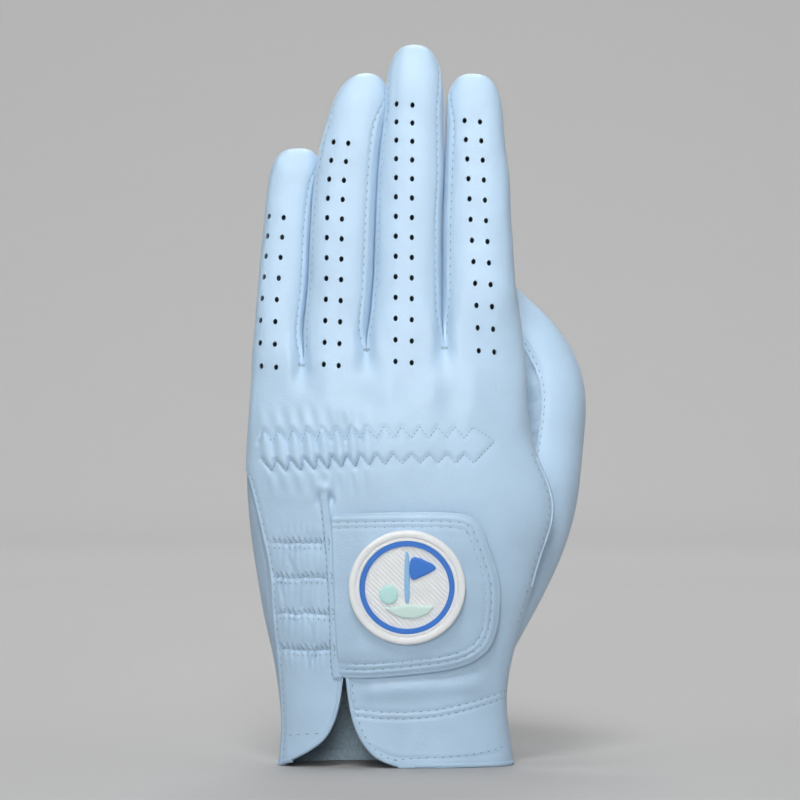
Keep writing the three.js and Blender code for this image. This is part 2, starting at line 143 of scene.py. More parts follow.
def rounded(points, times=3):
    """A polyline with its corners cut, so that it runs as a curve; its ends stay."""
    points = np.asarray(points, float)
    for _ in range(times):
        near, far = lerp(points[:-1], points[1:], 0.25), lerp(points[:-1], points[1:], 0.75)
        middle = np.stack([near, far], axis=1).reshape(-1, points.shape[1])
        points = np.concatenate([points[:1], middle, points[-1:]])
    return points


# ---- Meshes ----
def normals_of(grid):
    across, up = np.gradient(grid, axis=1), np.gradient(grid, axis=0)
    normal = np.cross(across, up)
    length = np.linalg.norm(normal, axis=2, keepdims=True)
    return normal / np.maximum(length, 1e-9)


def face_outward(mesh):
    work = bmesh.new()
    work.from_mesh(mesh)
    bmesh.ops.recalc_face_normals(work, faces=work.faces)
    work.to_mesh(mesh)
    work.free()


def add_object(name, points, faces, material, smooth_below=40, outward=False):
    mesh = bpy.data.meshes.new(name)
    mesh.from_pydata((np.asarray(points, float) * MM).tolist(), [], faces)
    mesh.update()
    if outward:
        face_outward(mesh)
    mesh.shade_smooth()
    mesh.set_sharp_from_angle(angle=math.radians(smooth_below))
    mesh.materials.append(material)
    made = bpy.data.objects.new(name, mesh)
    bpy.context.scene.collection.objects.link(made)
    return made


def tube_faces(rows, columns, start=0, flip=False):
    """The faces between rings of points."""
    faces = []
    for row in range(rows - 1):
        for column in range(columns):
            ahead = (column + 1) % columns
            a, b = start + row * columns + column, start + row * columns + ahead
            quad = (a, b, b + columns, a + columns)
            faces.append(quad[::-1] if flip else quad)
    return faces


def inward_safe(grid):
    """A grid's normals, with straight up where its last row closes to a point."""
    normals = normals_of(grid)
    if np.ptp(grid[-1], axis=0).max() < 0.01:
        normals[-1] = (0, 0, 1)
    return normals


def shell(name, grid, material, thickness=LEATHER_THICKNESS, inside=None):
    """A sheet of leather: grid is its outer face, rows upward and columns anticlockwise seen from above."""
    rows, columns = grid.shape[:2]
    inner = grid - inward_safe(grid) * thickness
    pointed = np.ptp(grid[-1], axis=0).max() < 0.01
    count = (rows - 1) * columns + 1 if pointed else rows * columns
    ids = np.minimum(np.arange(rows * columns), count - 1).reshape(rows, columns)
    points = np.concatenate([grid.reshape(-1, 3)[:count], inner.reshape(-1, 3)[:count]])
    faces = []
    for row in range(rows - 1):
        for column in range(columns - 1):
            ahead = column + 1
            faces.append((ids[row, column], ids[row, ahead], ids[row + 1, ahead], ids[row + 1, column]))
    outer_faces = len(faces)
    faces += [tuple(count + i for i in face[::-1]) for face in faces]
    rims = [list(ids[0])] if pointed else [list(ids[0]), list(ids[-1][::-1])]
    rims += [list(ids[::-1, 0]), list(ids[:, -1])]
    for rim in rims:
        faces += [(ahead, here, count + here, count + ahead) for here, ahead in zip(rim, rim[1:])]
    faces = [tuple(int(i) for i in dict.fromkeys(face)) for face in faces]
    made = add_object(name, points, faces, material)
    # Inner faces default to FLESH_SIDE's very dark blue, which is painted shade for the glove's inside.
    made.data.materials.append(inside or FLESH_SIDE)
    for polygon in made.data.polygons[outer_faces : 2 * outer_faces]:
        polygon.material_index = 1
    width = np.linalg.norm(np.diff(grid, axis=1), axis=2).sum(axis=1).max()
    length = np.linalg.norm(np.diff(grid, axis=0), axis=2).sum(axis=0).max()
    return made


def weld(piece, distance=0.004):
    """Joins points that lie on each other, such as those at a fingertip."""
    bpy.context.view_layer.objects.active = piece
    modifier = piece.modifiers.new("weld", "WELD")
    modifier.merge_threshold = distance * MM
    with bpy.context.temp_override(object=piece, active_object=piece):
        bpy.ops.object.modifier_apply(modifier=modifier.name)


def cut(piece, cutter):
    """Cuts cutter out of piece, and removes it. Where the fast solver does nothing, the exact one is used."""
    modifier = piece.modifiers.new("cut", "BOOLEAN")
    modifier.operation = "DIFFERENCE"
    modifier.object = cutter
    modifier.material_mode = "TRANSFER"
    modifier.solver = "MANIFOLD"
    before = len(piece.data.vertices)
    bpy.context.view_layer.update()
    found = piece.evaluated_get(bpy.context.evaluated_depsgraph_get()).to_mesh()
    if len(found.vertices) == before:
        modifier.solver = "EXACT"
    with bpy.context.temp_override(object=piece, active_object=piece):
        bpy.ops.object.modifier_apply(modifier=modifier.name)
    bpy.data.objects.remove(cutter)
    piece.data.shade_smooth()
    piece.data.set_sharp_from_angle(angle=math.radians(40))


def swept(name, path, normals, profile, material):
    """A closed profile of (across, out) points swept along a path on a surface, with its ends capped."""
    path, normals = np.asarray(path, float), np.asarray(normals, float)
    across = unit_rows(np.cross(unit_rows(np.gradient(path, axis=0)), normals))
    profile = np.asarray(profile, float)
    rings = path[:, None] + across[:, None] * profile[None, :, :1] + normals[:, None] * profile[None, :, 1:]
    rows, columns = rings.shape[:2]
    faces = tube_faces(rows, columns, flip=True)
    faces.append(tuple(range(columns)))
    faces.append(tuple(range(rows * columns - 1, (rows - 1) * columns - 1, -1)))
    return add_object(name, rings.reshape(-1, 3), faces, material, 50, outward=True)


class Surface:
    """The skin of some pieces, for setting other pieces on it."""

    def __init__(self, *pieces):
        points, faces = [], []
        for piece in pieces:
            start = len(points)
            points += [vertex.co.copy() for vertex in piece.data.vertices]
            faces += [[start + i for i in polygon.vertices] for polygon in piece.data.polygons]
        self.tree = BVHTree.FromPolygons(points, faces)

    def from_front(self, x, z):
        """The point and normal that a line along +Y meets first; past the edge, those nearest to it."""
        hit, normal, _, _ = self.tree.ray_cast(Vector((x * MM, -0.2, z * MM)), Vector((0, 1, 0)))
        if hit is None:
            hit, normal, _, _ = self.tree.find_nearest(Vector((x * MM, -0.02, z * MM)))
        return np.array(hit) / MM, np.array(normal)

    def trace(self, outline):
        """The points and normals under a line drawn on the front as (x, z) points."""
        found = [self.from_front(x, z) for x, z in outline]
        normals = np.array([normal for _, normal in found])
        soft = normals.copy()
        soft[1:-1] = normals[:-2] + normals[1:-1] + normals[2:]
        return np.array([point for point, _ in found]), unit_rows(soft)


DASH_RINGS = ((-1, 0.35), (-0.82, 0.8), (0, 1), (0.82, 0.8), (1, 0.35))
DASH_SIDES = 6


def stitches(name, path, normals, material, pitch=2.2, length=1.35, radius=0.2, sink=0.02, turn=0.0):
    """Thread that shows as a dash at each stitch, turned by an angle out of the line of the row."""
    path, normals = np.asarray(path, float), np.asarray(normals, float)
    walked = walk_along(path)
    count = max(int(round(walked[-1] / pitch)), 1)
    at = lambda place, values: np.array([np.interp(place, walked, values[:, k]) for k in range(3)])
    points, faces = [], []
    for i in range(count):
        place = (i + 0.5) * walked[-1] / count
        middle, normal = at(place, path), at(place, normals)
        ahead = at(place + length / 2, path) - at(place - length / 2, path)
        ahead /= max(np.linalg.norm(ahead), 1e-9)
        normal = normal - ahead * np.dot(normal, ahead)
        normal /= np.linalg.norm(normal)
        across = np.cross(ahead, normal)
        ahead = ahead * math.cos(turn) + across * math.sin(turn)
        across = np.cross(ahead, normal)
        middle = middle - normal * sink
        start = len(points)
        for along, size in DASH_RINGS:
            droop = normal * radius * 0.9 * along * along
            centre = middle + ahead * along * length / 2 - droop
            for side in range(DASH_SIDES):
                angle = 2 * math.pi * side / DASH_SIDES
                out = across * math.cos(angle) * 1.15 + normal * math.sin(angle)
                points.append(centre + out * radius * size)
        faces += tube_faces(len(DASH_RINGS), DASH_SIDES, start, flip=True)
        faces.append(tuple(range(start, start + DASH_SIDES)))
        last = start + (len(DASH_RINGS) - 1) * DASH_SIDES
        faces.append(tuple(range(last + DASH_SIDES - 1, last - 1, -1)))
    return add_object(name, points, faces, material, 80)


# ---- Materials ----
def new_material(name, color, roughness, **sockets):
    material = bpy.data.materials.new(name)
    material.use_nodes = True
    shader = material.node_tree.nodes["Principled BSDF"]
    shader.inputs["Base Color"].default_value = (*color, 1)
    shader.inputs["Roughness"].default_value = roughness
    for socket, value in sockets.items():
        shader.inputs[socket.replace("_", " ")].default_value = value
    return material, material.node_tree, shader


def add_node(tree, kind, inputs=None, **settings):
    node = tree.nodes.new(kind)
    for key, value in settings.items():
        setattr(node, key, value)
    for key, value in (inputs or {}).items():
        node.inputs[key].default_value = value
    return node


def add_texture(tree, kind, scale, **inputs):
    place = tree.nodes.get("Place") or add_node(tree, "ShaderNodeTexCoord", name="Place")
    values = {"Scale": scale, **{key.replace("_", " "): value for key, value in inputs.items()}}
    texture = add_node(tree, kind, values)
    tree.links.new(place.outputs["Object"], texture.inputs["Vector"])
    return texture


def tint(tree, shader, factor, low, high, span=(0.3, 0.7)):
    """Colours the shader from low to high by a texture's value."""
    ramp = add_node(tree, "ShaderNodeValToRGB")
    ramp.color_ramp.elements[0].position, ramp.color_ramp.elements[1].position = span
    ramp.color_ramp.elements[0].color = (*low, 1)
    ramp.color_ramp.elements[1].color = (*high, 1)
    tree.links.new(factor, ramp.inputs["Fac"])
    tree.links.new(ramp.outputs["Color"], shader.inputs["Base Color"])


def emboss(tree, shader, layers):
    """Bumps the shader with (height output, depth in mm) layers."""
    last = None
    for height, depth in layers:
        bump = add_node(tree, "ShaderNodeBump", {"Strength": 1.0, "Distance": depth * MM})
        tree.links.new(height, bump.inputs["Height"])
        if last:
            tree.links.new(last.outputs["Normal"], bump.inputs["Normal"])
        last = bump
    tree.links.new(last.outputs["Normal"], shader.inputs["Normal"])


def scaled(color, share):
    return tuple(channel * share for channel in color)


LEATHER_BLUE = (0.445, 0.610, 0.775)


def leather_material(name, color, roughness=0.42, grain=0.035):
    """Smooth full-grain leather: fine pebbling, pores, and a slight unevenness in colour and gloss."""
    material, tree, shader = new_material(name, color, roughness, IOR=1.45, Specular_IOR_Level=0.45,
                                          Sheen_Weight=0.12, Sheen_Roughness=0.5)
    cloud = add_texture(tree, "ShaderNodeTexNoise", 55, Detail=4)
    tint(tree, shader, cloud.outputs["Fac"], scaled(color, 0.95), scaled(color, 1.04))
    pebble = add_texture(tree, "ShaderNodeTexVoronoi", 1500, Randomness=1.0)
    pores = add_texture(tree, "ShaderNodeTexNoise", 2600, Detail=3)
    soft = add_texture(tree, "ShaderNodeTexNoise", 260, Detail=3)
    emboss(tree, shader, [(pebble.outputs["Distance"], grain), (pores.outputs["Fac"], grain * 0.6),
                          (soft.outputs["Fac"], grain * 2.2)])
    gloss = add_node(tree, "ShaderNodeMapRange", {"To Min": roughness - 0.06, "To Max": roughness + 0.08})
    tree.links.new(soft.outputs["Fac"], gloss.inputs["Value"])
    tree.links.new(gloss.outputs["Result"], shader.inputs["Roughness"])
    return material


def suede_material(name, color):
    """The flesh side: matt, with a short nap."""
    material, tree, shader = new_material(name, color, 0.95, Specular_IOR_Level=0.15,
                                          Sheen_Weight=0.35, Sheen_Roughness=0.6)
    nap = add_texture(tree, "ShaderNodeTexNoise", 1400, Detail=5)
    tint(tree, shader, nap.outputs["Fac"], scaled(color, 0.8), scaled(color, 1.15))
    emboss(tree, shader, [(nap.outputs["Fac"], 0.12)])
    return material


def thread_material(name, color):
    material, tree, shader = new_material(name, color, 0.6, Sheen_Weight=0.3)
    twist = add_texture(tree, "ShaderNodeTexWave", 900, Distortion=2.0)
    tint(tree, shader, twist.outputs["Fac"], scaled(color, 0.85), color)
    emboss(tree, shader, [(twist.outputs["Fac"], 0.05)])
    return material


def rubber_material(name, color, roughness=0.42):
    material, tree, shader = new_material(name, color, roughness, Specular_IOR_Level=0.45, Coat_Weight=0.08)
    speck = add_texture(tree, "ShaderNodeTexNoise", 1800, Detail=2)
    tint(tree, shader, speck.outputs["Fac"], scaled(color, 0.96), color)
    emboss(tree, shader, [(speck.outputs["Fac"], 0.012)])
    return material


def pile_material(name, color):
    """Hook or loop tape: a dense mat of short fibres."""
    material, tree, shader = new_material(name, color, 0.9, Sheen_Weight=0.4)
    fibre = add_texture(tree, "ShaderNodeTexVoronoi", 2200, Randomness=0.8)
    tint(tree, shader, fibre.outputs["Distance"], scaled(color, 1.1), scaled(color, 0.7), (0.1, 0.6))
    emboss(tree, shader, [(fibre.outputs["Distance"], 0.25)])
    return material


LEATHER = leather_material("glove_leather", LEATHER_BLUE)
TAB_LEATHER = leather_material("tab_leather", scaled(LEATHER_BLUE, 0.98), 0.48, 0.06)
# Painted shade: the palm leather's blue is darkened to 0.84 of the back leather's so that the strip of palm
# leather beside the side seam, which faces away from the light, renders dark.
PALM_LEATHER = leather_material("palm_leather", scaled(LEATHER_BLUE, 0.84), 0.5, 0.06)
EDGE_LEATHER = leather_material("edge_leather", scaled(LEATHER_BLUE, 0.98), 0.55)
SUEDE = suede_material("suede_lining", (0.42, 0.56, 0.66))
# Painted shade: the leather's inner face is a very dark blue, far darker than the suede lining, so that the
# glove's inside renders dark where it shows through the punched holes and between pieces.
FLESH_SIDE = suede_material("flesh_side", (0.09, 0.14, 0.19))
# Painted shade: this dark blue goes only onto the walls of the punched holes, while the slit and the sheets'
# rims keep the leather's colour, so that the holes render dark.
CUT_EDGE = suede_material("cut_edge", (0.16, 0.24, 0.33))
# Painted shade: the real thread matches the leather, but it is darkened to 0.55 of the leather's blue so that
# each stitch reads as the shadowed dash it makes in its hollow.
THREAD = thread_material("thread", scaled(LEATHER_BLUE, 0.55))
WHITE = rubber_material("white_rubber", (0.83, 0.85, 0.86))
BLUE = rubber_material("blue_rubber", (0.045, 0.20, 0.66))
LIGHT_BLUE = rubber_material("light_blue_rubber", (0.30, 0.55, 0.85))
AQUA = rubber_material("aqua_rubber", (0.52, 0.82, 0.80))
MINT = rubber_material("mint_rubber", (0.62, 0.80, 0.75))
LOOP_PILE = pile_material("loop_pile", (0.33, 0.45, 0.57))
HOOK_PILE = pile_material("hook_pile", (0.45, 0.55, 0.66))
ELASTIC_WEAVE = pile_material("elastic_weave", (0.55, 0.62, 0.70))


# ---- The hand's form ----
ROOT_Z, ROOT_DROP = 131, 12
ROOT_LEFT, ROOT_RIGHT = -52.15, 31.35
CROTCHES = (-35.4, -15.7, 8.45)
CROTCH_DEPTH, CROTCH_WIDTH, CROTCH_RUN = 3.6, 2.3, 12

HAND_LEFT = spline((0, -43.7), (14, -42.7), (26, -43.7), (38, -45.5), (51, -48), (64, -49.9), (76, -51.5),
                   (89, -52.7), (101, -53.2), (114, -52.7), (126, -51.9), (131, -51.6))
HAND_RIGHT = spline((0, 30.1), (7, 29.3), (20, 28.0), (30, 29.0), (41, 31.7), (54, 35.7), (64, 38.4),
                    (74, 41.7), (81, 42.6), (90, 40.3), (98, 36.9), (109, 34.6), (122, 33.9), (131, 33.0))
HAND_BACK = spline((0, -20.2), (20, -19.8), (34, -21.5), (52, -24.8), (76, -28.2), (98, -29.0), (110, -27.9),
                   (118, -26.2), (125, -24.4), (131, -23.1))
HAND_PALM = spline((0, 13.3), (20, 12.8), (34, 11.8), (52, 10.3), (76, 7.3), (98, 4.3), (116, 1.3),
                   (131, -2.6))
MIDDLE_LEFT = spline((0, -4), (40, -6), (76, -10), (100, -12.5), (131, -12.5))
MIDDLE_RIGHT = spline((0, -4), (30, -7), (60, -11), (85, -13), (131, -12.5))
HAND_POWER = 2.5
SIDE_SEAM = spline((0, -42.6), (10, -42.0), (23, -42.3), (38, -43.4), (51, -44.6), (64, -45.3), (69, -45.9),
                   (75, -47.0), (82, -48.4), (91, -50.2), (98, -51.8), (104, -53.0), (112, -53.6))


def root_line(x):
    share = np.clip((ROOT_RIGHT - x) / (ROOT_RIGHT - ROOT_LEFT), 0, 1)
    return ROOT_Z - ROOT_DROP * share**2.6


def hand_section(level, angle):
    """Points of the hand at a level, by angle: 0 is its back, 90 degrees the thumb side, 180 its palm."""
    left, right = HAND_LEFT(level), HAND_RIGHT(level)
    sine, cosine = power(np.sin(angle), 2 / HAND_POWER), power(np.cos(angle), 2 / HAND_POWER)
    share = 0.5 + 0.5 * sine
    x = lerp(left, right, share)
    middle = lerp(MIDDLE_LEFT(level), MIDDLE_RIGHT(level), share)
    reach = np.where(cosine > 0, middle - HAND_BACK(level), HAND_PALM(level) - middle)
    return np.stack([x, middle - cosine * reach, level * root_line(x) / ROOT_Z], axis=-1)


BACK_START, RIGHT_EDGE = math.radians(-100), math.radians(100)


def seam_angle(level):
    """Where the side seam runs, seen from the front, as an angle round the hand."""
    left, right = HAND_LEFT(level), HAND_RIGHT(level)
    share = np.clip((SIDE_SEAM(level) - left) / (right - left) * 2 - 1, -1, 1)
    angle = np.arcsin(power(share, HAND_POWER / 2))
    return float(lerp(angle, BACK_START, ease(98, 108, level)))



def arc(level, start, end, fractions, section):
    """Points at fractions of the way along a section between two angles."""
    angles = np.linspace(start, end, 500)
    points = section(level, angles)
    walked = walk_along(points)
    found = np.interp(np.asarray(fractions) * walked[-1], walked, angles)
    return section(level, found)


# ---- Relief on the back of the hand ----
def zigzag(side):
    """The corners of one line of the zigzag over the knuckle elastic, from the little finger's side."""
    corners = []
    crease = -48.9
    for k in range(14):
        pitch = lerp(4.5, 5.5, float(ease(6, 9, k)))
        if side == "upper":
            valley, peak = crease, crease + pitch * lerp(0.3, 0.48, float(ease(5, 9, k)))
            along = ease(0, 9, k)
            corners += [(valley, lerp(100.6, 102.1, along)), (peak, lerp(104.6, 105.5, along))]
        else:
            peak = crease + lerp(1.2, 0, float(ease(0, 6, k)))
            valley = crease + pitch * lerp(0.92, 0.5, float(ease(1, 9, k)))
            corners += [(peak, lerp(95.4, 97.2, ease(0, 9, k))), (valley, lerp(91.8, 94.4, ease(0, 11, k)))]
        crease += pitch
    return corners + [(23.9, 101.1)]


ZIGZAG = {side: np.array(zigzag(side), float) for side in ("upper", "lower")}
CREASES = np.array([ZIGZAG["upper"][0:-1:2][k] for k in range(14)])


def distance_to(line, x, z):
    """How far each (x, z) is from a line of points."""
    nearest = np.full(np.shape(x), 1e9)
    for (x0, z0), (x1, z1) in zip(line[:-1], line[1:]):
        length = (x1 - x0) ** 2 + (z1 - z0) ** 2
        share = np.clip(((x - x0) * (x1 - x0) + (z - z0) * (z1 - z0)) / length, 0, 1)
        nearest = np.minimum(nearest, np.hypot(x - x0 - share * (x1 - x0), z - z0 - share * (z1 - z0)))
    return nearest


def knuckle_relief(x, z):
    """Two sewn zigzags, with the leather gathered into pleats between them towards the little finger."""
    near = (z > 84) & (z < 113) & (x < 28)
    out = np.zeros(np.shape(x))
    xs, zs = x[near], z[near]
    gathered = 1 - ease(-22, -8, xs)
    lines = np.minimum(distance_to(ZIGZAG["upper"], xs, zs), distance_to(ZIGZAG["lower"], xs, zs))
    groove = -(0.32 + 0.5 * gathered) * hump(lines, 0, 0.75)
    above = np.interp(xs, *ZIGZAG["upper"].T)
    below = np.interp(xs, *ZIGZAG["lower"].T)
    inside = ease(-0.6, 1.2, above - zs) * ease(-0.6, 1.2, zs - below) * ease(-52, -48, xs)
    slant = xs - 0.16 * (100 - zs) * gathered
    phase = np.interp(slant, CREASES[:, 0], np.arange(14))
    pleat = (0.5 - 0.5 * np.cos(2 * math.pi * phase)) ** 0.6 - 0.45
    puff = inside * (0.25 + gathered * (0.95 * pleat + 0.25))
    pull = 0.3 * gathered * np.cos(2 * math.pi * (phase - 0.5))
    pull = pull * (hump(zs, 108, 3.2) + hump(zs, 88.8, 3.2)) * (1 - inside)
    out[near] = (groove + puff + pull) * ease(-54, -50, xs)
    return out


WRIST_ROWS = (36.5, 47.7, 58.8, 69.7)
WRIST_PITCH = 1.95
SLIT_TOP, SLIT_LOW = (-28.35, 84.5), (-23.4, 27.0)
STRIP_LINE = spline((26.5, -24.6), (31, -25.15), (39, -25.45), (51, -25.8), (63, -26.45), (76, -27.6),
                    (83, -28.4), (86, -28.7))
STRIP_HALF = 1.2


def slit_x(z):
    return np.interp(z, (SLIT_LOW[1], SLIT_TOP[1]), (SLIT_LOW[0], SLIT_TOP[0]))


def wrist_relief(x, z):
    """Four gathered rows where elastic pulls the leather in, between the side seam and the slit's strip."""
    near = (z > 28) & (z < 80) & (x < -20)
    out = np.zeros(np.shape(x))
    xs, zs = x[near], z[near]
    across = ease(-1.0, 1.8, xs - SIDE_SEAM(zs)) * ease(0.2, 3.0, STRIP_LINE(zs) - xs)
    for k, row in enumerate(WRIST_ROWS):
        rise = zs - row - 0.3 * noise(xs, zs * 0, 3.1, 40 + k)
        strength = 0.8 + 0.5 * noise(xs, zs * 0, 2.6, 60 + k)
        slanted = np.cos(2 * math.pi * (xs + 0.44 * rise) / WRIST_PITCH)
        upright = np.cos(2 * math.pi * (xs / WRIST_PITCH + 0.3 * noise(xs, zs * 0.4, 3, 50 + k)))
        out_row = -0.55 * hump(rise, 0, 2.8) - 0.5 * hump(rise, 0, 0.5)
        out_row += 0.4 * slanted * hump(rise, 1.3, 0.85)
        out_row += strength * upright * (0.5 * hump(rise, -1.3, 1.0) + 0.2 * hump(rise, -3.8, 2.0))
        out_row += 0.12 * strength * upright * hump(rise, 4.2, 1.6)
        out[near] += out_row
    ripple = noise(xs, zs * 0.32, 2.6, 7) * 0.4 + noise(xs * 0.9, zs * 0.2, 4.6, 8) * 0.35
    out[near] += ripple * ease(33, 37, zs) * (1 - ease(70, 75, zs))
    for line in WRIST_WRINKLES:
        out[near] -= 0.5 * hump(distance_to(np.array(line), xs, zs), 0, 0.55)
    out[near] *= across
    return out


WRIST_WRINKLES = (((-40.4, 66.0), (-38.6, 62.5), (-37.0, 58.5), (-36.2, 53.0), (-36.1, 48.6)),
                  ((-42.2, 57.0), (-41.2, 52.5), (-40.9, 48.8)),
                  ((-33.0, 44.6), (-32.4, 41.0), (-32.5, 38.0)))


def groove_along(x, z, line, depth, width):
    return -depth * hump(distance_to(np.asarray(line), x, z), 0, width)


CUFF_SEAM = ((-19.4, 18.3), (-12, 17.4), (-4, 17.2), (6, 17.9), (16, 20.0), (24, 22.3), (28.6, 23.6))
CUFF_SEAM_GAP = 2.05


def cuff_seam(drop):
    """The line of the cuff band's seam, lowered."""
    return [(x, z - drop) for x, z in CUFF_SEAM]


MOUTH_LEFT = ((-22.9, 27.4), (-23.9, 20.2), (-25.4, 14.3), (-28.3, 8.8), (-33.1, 5.2), (-37.6, 2.7),
              (-42.4, 0.3))
MOUTH_RIGHT = ((-21.9, 26.2), (-21.3, 21.0), (-20.0, 14.3), (-17.6, 8.6), (-14.0, 4.0), (-10.4, 1.8),
               (-6, 0.45))


def with_crotches(out, x, z):
    """A relief with the hollow below each crotch taken out of it."""
    for crotch in CROTCHES:
        top = root_line(np.float64(crotch))
        dip = hump(x, crotch, CROTCH_WIDTH + 0.16 * np.maximum(top - z, 0))
        out = out - CROTCH_DEPTH * dip * ease(top - CROTCH_RUN, top + 1, z) ** 1.5
    return out


def hand_relief(x, z):
    """How far the leather on the back stands out of the hand's plain form: gathers, hollows and seams."""
    out = with_crotches(knuckle_relief(x, z) + wrist_relief(x, z), x, z)
    for place, size in ((-27.5, 0.5), (-8.6, 0.55), (4.5, 0.35), (17.4, 0.6)):
        out += size * hump(x, place, 3.0) * hump(z, 117, 8)
    for place in (-17.5, 10.5):
        out -= 0.75 * hump(x, place, 4.2) * hump(z, 114, 5.5)
    out += 1.9 * hump(x, -28.5, 1.7) * hump(z, 86.5, 1.9)
    out -= 1.4 * hump(x, -26.3, 0.9) * hump(z, 83.4, 1.4) + 0.9 * hump(x, -30.4, 0.9) * hump(z, 83.0, 2.0)
    out -= 0.3 * hump(x, STRIP_LINE(z) - 1.5, 0.6) * ease(27, 31, z) * (1 - ease(81, 84, z))
    out += 1.0 * hump(z, 24.6 + 0.06 * x, 2.9) * ease(-20, -13, x) * (1 - ease(16, 25, x))
    for offset in (0, CUFF_SEAM_GAP):
        out += groove_along(x, z, cuff_seam(offset), 0.28, 0.55)
    ridge = hump(distance_to(cuff_seam(CUFF_SEAM_GAP / 2), x, z), 0, 0.6)
    gather = ease(-2, 22, x)
    out += ridge * (0.15 + 0.16 * gather * np.cos(2 * math.pi * x / 1.7))
    hem = np.array([(px, pz + 2.7) for px, pz in MOUTH_RIGHT[4:]] + [(8, 3.0), (18, 3.4), (26, 4.4), (30, 6)])
    out += groove_along(x, z, hem, 0.25, 0.5) * ease(-21, -18, x)
    out += 0.22 * noise(x, z, 9, 3) * (1 - ease(100, 125, z)) + 0.07 * noise(x, z, 3.5, 5)
    return out


# ---- The fingers' form ----
class Finger:
    """One finger's measures by height, from its root to the top of its leather.

    centre and half are (height, x of the middle) and (height, half the width) pairs. seams gives, by side,
    how far inside the silhouette the back leather's edge runs. Side -1 is the little finger's.
    """

    def __init__(self, name, centre, half, shoulder, tip, dome_power, seams):
        self.name, self.centre, self.half = name, spline(*centre), spline(*half)
        self.shoulder, self.tip, self.dome_power = shoulder, tip, dome_power
        self.seams = seams
        self.root = float(root_line(np.float64(centre[0][1])))
        self.joint = JOINTS[f"{name}_flex"]

    def lean(self, z):
        return -12.5 + 14 * np.clip((z - self.root) / (self.tip - self.root), 0, 1) ** 1.05

    def seam_angle(self, side, z):
        """The back leather's edge: inside the side by the fourchette's width, or behind the fold."""
        if side not in self.seams:
            return side * math.radians(103) * np.ones(np.shape(z))
        half = self.half(z)
        share = np.clip((half - self.seams[side]) / half, 0, 1)
        angle = np.arcsin(share ** (FINGER_POWER / 2))
        closed = ease(self.shoulder - 1, self.tip - 1.5, z)
        return side * lerp(angle, math.radians(88), closed)

    def palm_edge(self, side, z):
        """Where the palm leather's edge runs, going round from the back by way of the right side."""
        if side in self.seams:
            return math.pi - self.seam_angle(side, z)
        return self.seam_angle(side, z) + (2 * math.pi if side < 0 else 0)

    def section(self, z, angle, out=0.0):
        """Points round the finger at a height: 0 is its back."""
        dome = np.clip((z - self.shoulder) / (self.tip - self.shoulder), 0, 1)
        share = np.clip(1 - dome**self.dome_power, 0, 1) ** (1 / self.dome_power)
        half = (self.half(z) + out) * share
        x = self.centre(z) + half * power(np.sin(angle), 2 / FINGER_POWER)
        y = self.lean(z) - half * DEPTH_SHARE * power(np.cos(angle), 2 / FINGER_POWER)
        return np.stack([x, y, z], axis=-1)


FINGER_POWER, DEPTH_SHARE = 3.0, 0.88
FINGER_MEASURES = {
    "little": (((124, -43.65), (136, -42.95), (148, -41.93), (160, -41.1), (172, -40.2), (180, -39.3),
                (187, -38.1), (192.7, -37.3)),
               ((124, 8.05), (136, 7.65), (148, 7.78), (160, 7.6), (172, 7.4), (180, 7.55), (192.7, 7.8)),
               182.3, 192.7, 2.7, {1: 1.2}),
    "ring": (((127, -25.6), (136, -25.1), (148, -23.95), (160, -23.35), (172, -22.8), (180, -22.3),
              (193, -20.75), (200, -19.3), (208, -17.5), (216, -15.9)),
             ((127, 9.7), (136, 10.1), (148, 10.1), (160, 10.1), (172, 10.05), (180, 9.95), (193, 9.5),
              (200, 9.15), (216, 9.1)),
             200.5, 216.2, 2.35, {-1: 0.4, 1: 2.2}),
    "middle": (((130, -3.55), (138, -3.4), (148, -2.98), (160, -2.7), (172, -2.5), (184, -1.9),
                (197, -1.35), (205, -0.95), (225, -0.8)),
               ((130, 11.85), (138, 11.35), (148, 10.78), (160, 10.45), (172, 10.3), (184, 10.3),
                (197, 9.6), (205, 9.15), (225, 9.0)),
               205, 225.1, 2.65, {-1: 0.4, 1: 1.2}),
    "index": (((131, 20.7), (144, 19.63), (155, 19.1), (164, 18.9), (173, 18.7), (183, 18.7), (192, 18.3),
               (203, 18.0), (216, 17.6)),
              ((131, 12.2), (144, 11.68), (155, 11.2), (164, 10.9), (173, 10.55), (183, 10.2), (192, 9.5),
               (203, 8.95), (216, 8.9)),
              200.5, 216.1, 2.55, {-1: 1.5}),
}
FORMS = {name: Finger(name, *FINGER_MEASURES[name]) for name in FINGERS}
FINGER_COLUMNS = 44
FINGER_ROWS = 110
DOME_ROWS = 22
ROOT_BLEND = {"little": 12, "ring": 11, "middle": 12, "index": 19}
ROOT_SETTLE = np.array((0.5, 0.25, 0.5))


def edge_marks(start, end, crotches, relief):
    """The shares of the way round the hand's top edge where its columns stand, a list for each finger."""
    angles = np.linspace(start, end, 4000)
    plain = hand_section(ROOT_Z, angles)
    moved = pushed(plain, relief, 1.0)
    walked = walk_along(moved)
    plain_walked = walk_along(plain)
    facing = np.cos(angles) * math.cos((start + end) / 2) > 0
    order = np.argsort(plain[facing, 0])
    marks = [0.0]
    for crotch in crotches:
        marks.append(float(np.interp(crotch, plain[facing, 0][order], walked[facing][order])))
    marks.append(float(walked[-1]))
    places = [np.linspace(low, high, FINGER_COLUMNS + 1) for low, high in zip(marks[:-1], marks[1:])]
    return [np.interp(place, walked, plain_walked) / plain_walked[-1] for place in places]


def pushed(points, relief, facing):
    """Points moved out of the back of the hand by relief, or out of the palm where facing is negative."""
    moved = points.copy()
    moved[..., 1] -= relief(points[..., 0], points[..., 2]) * facing
    return moved


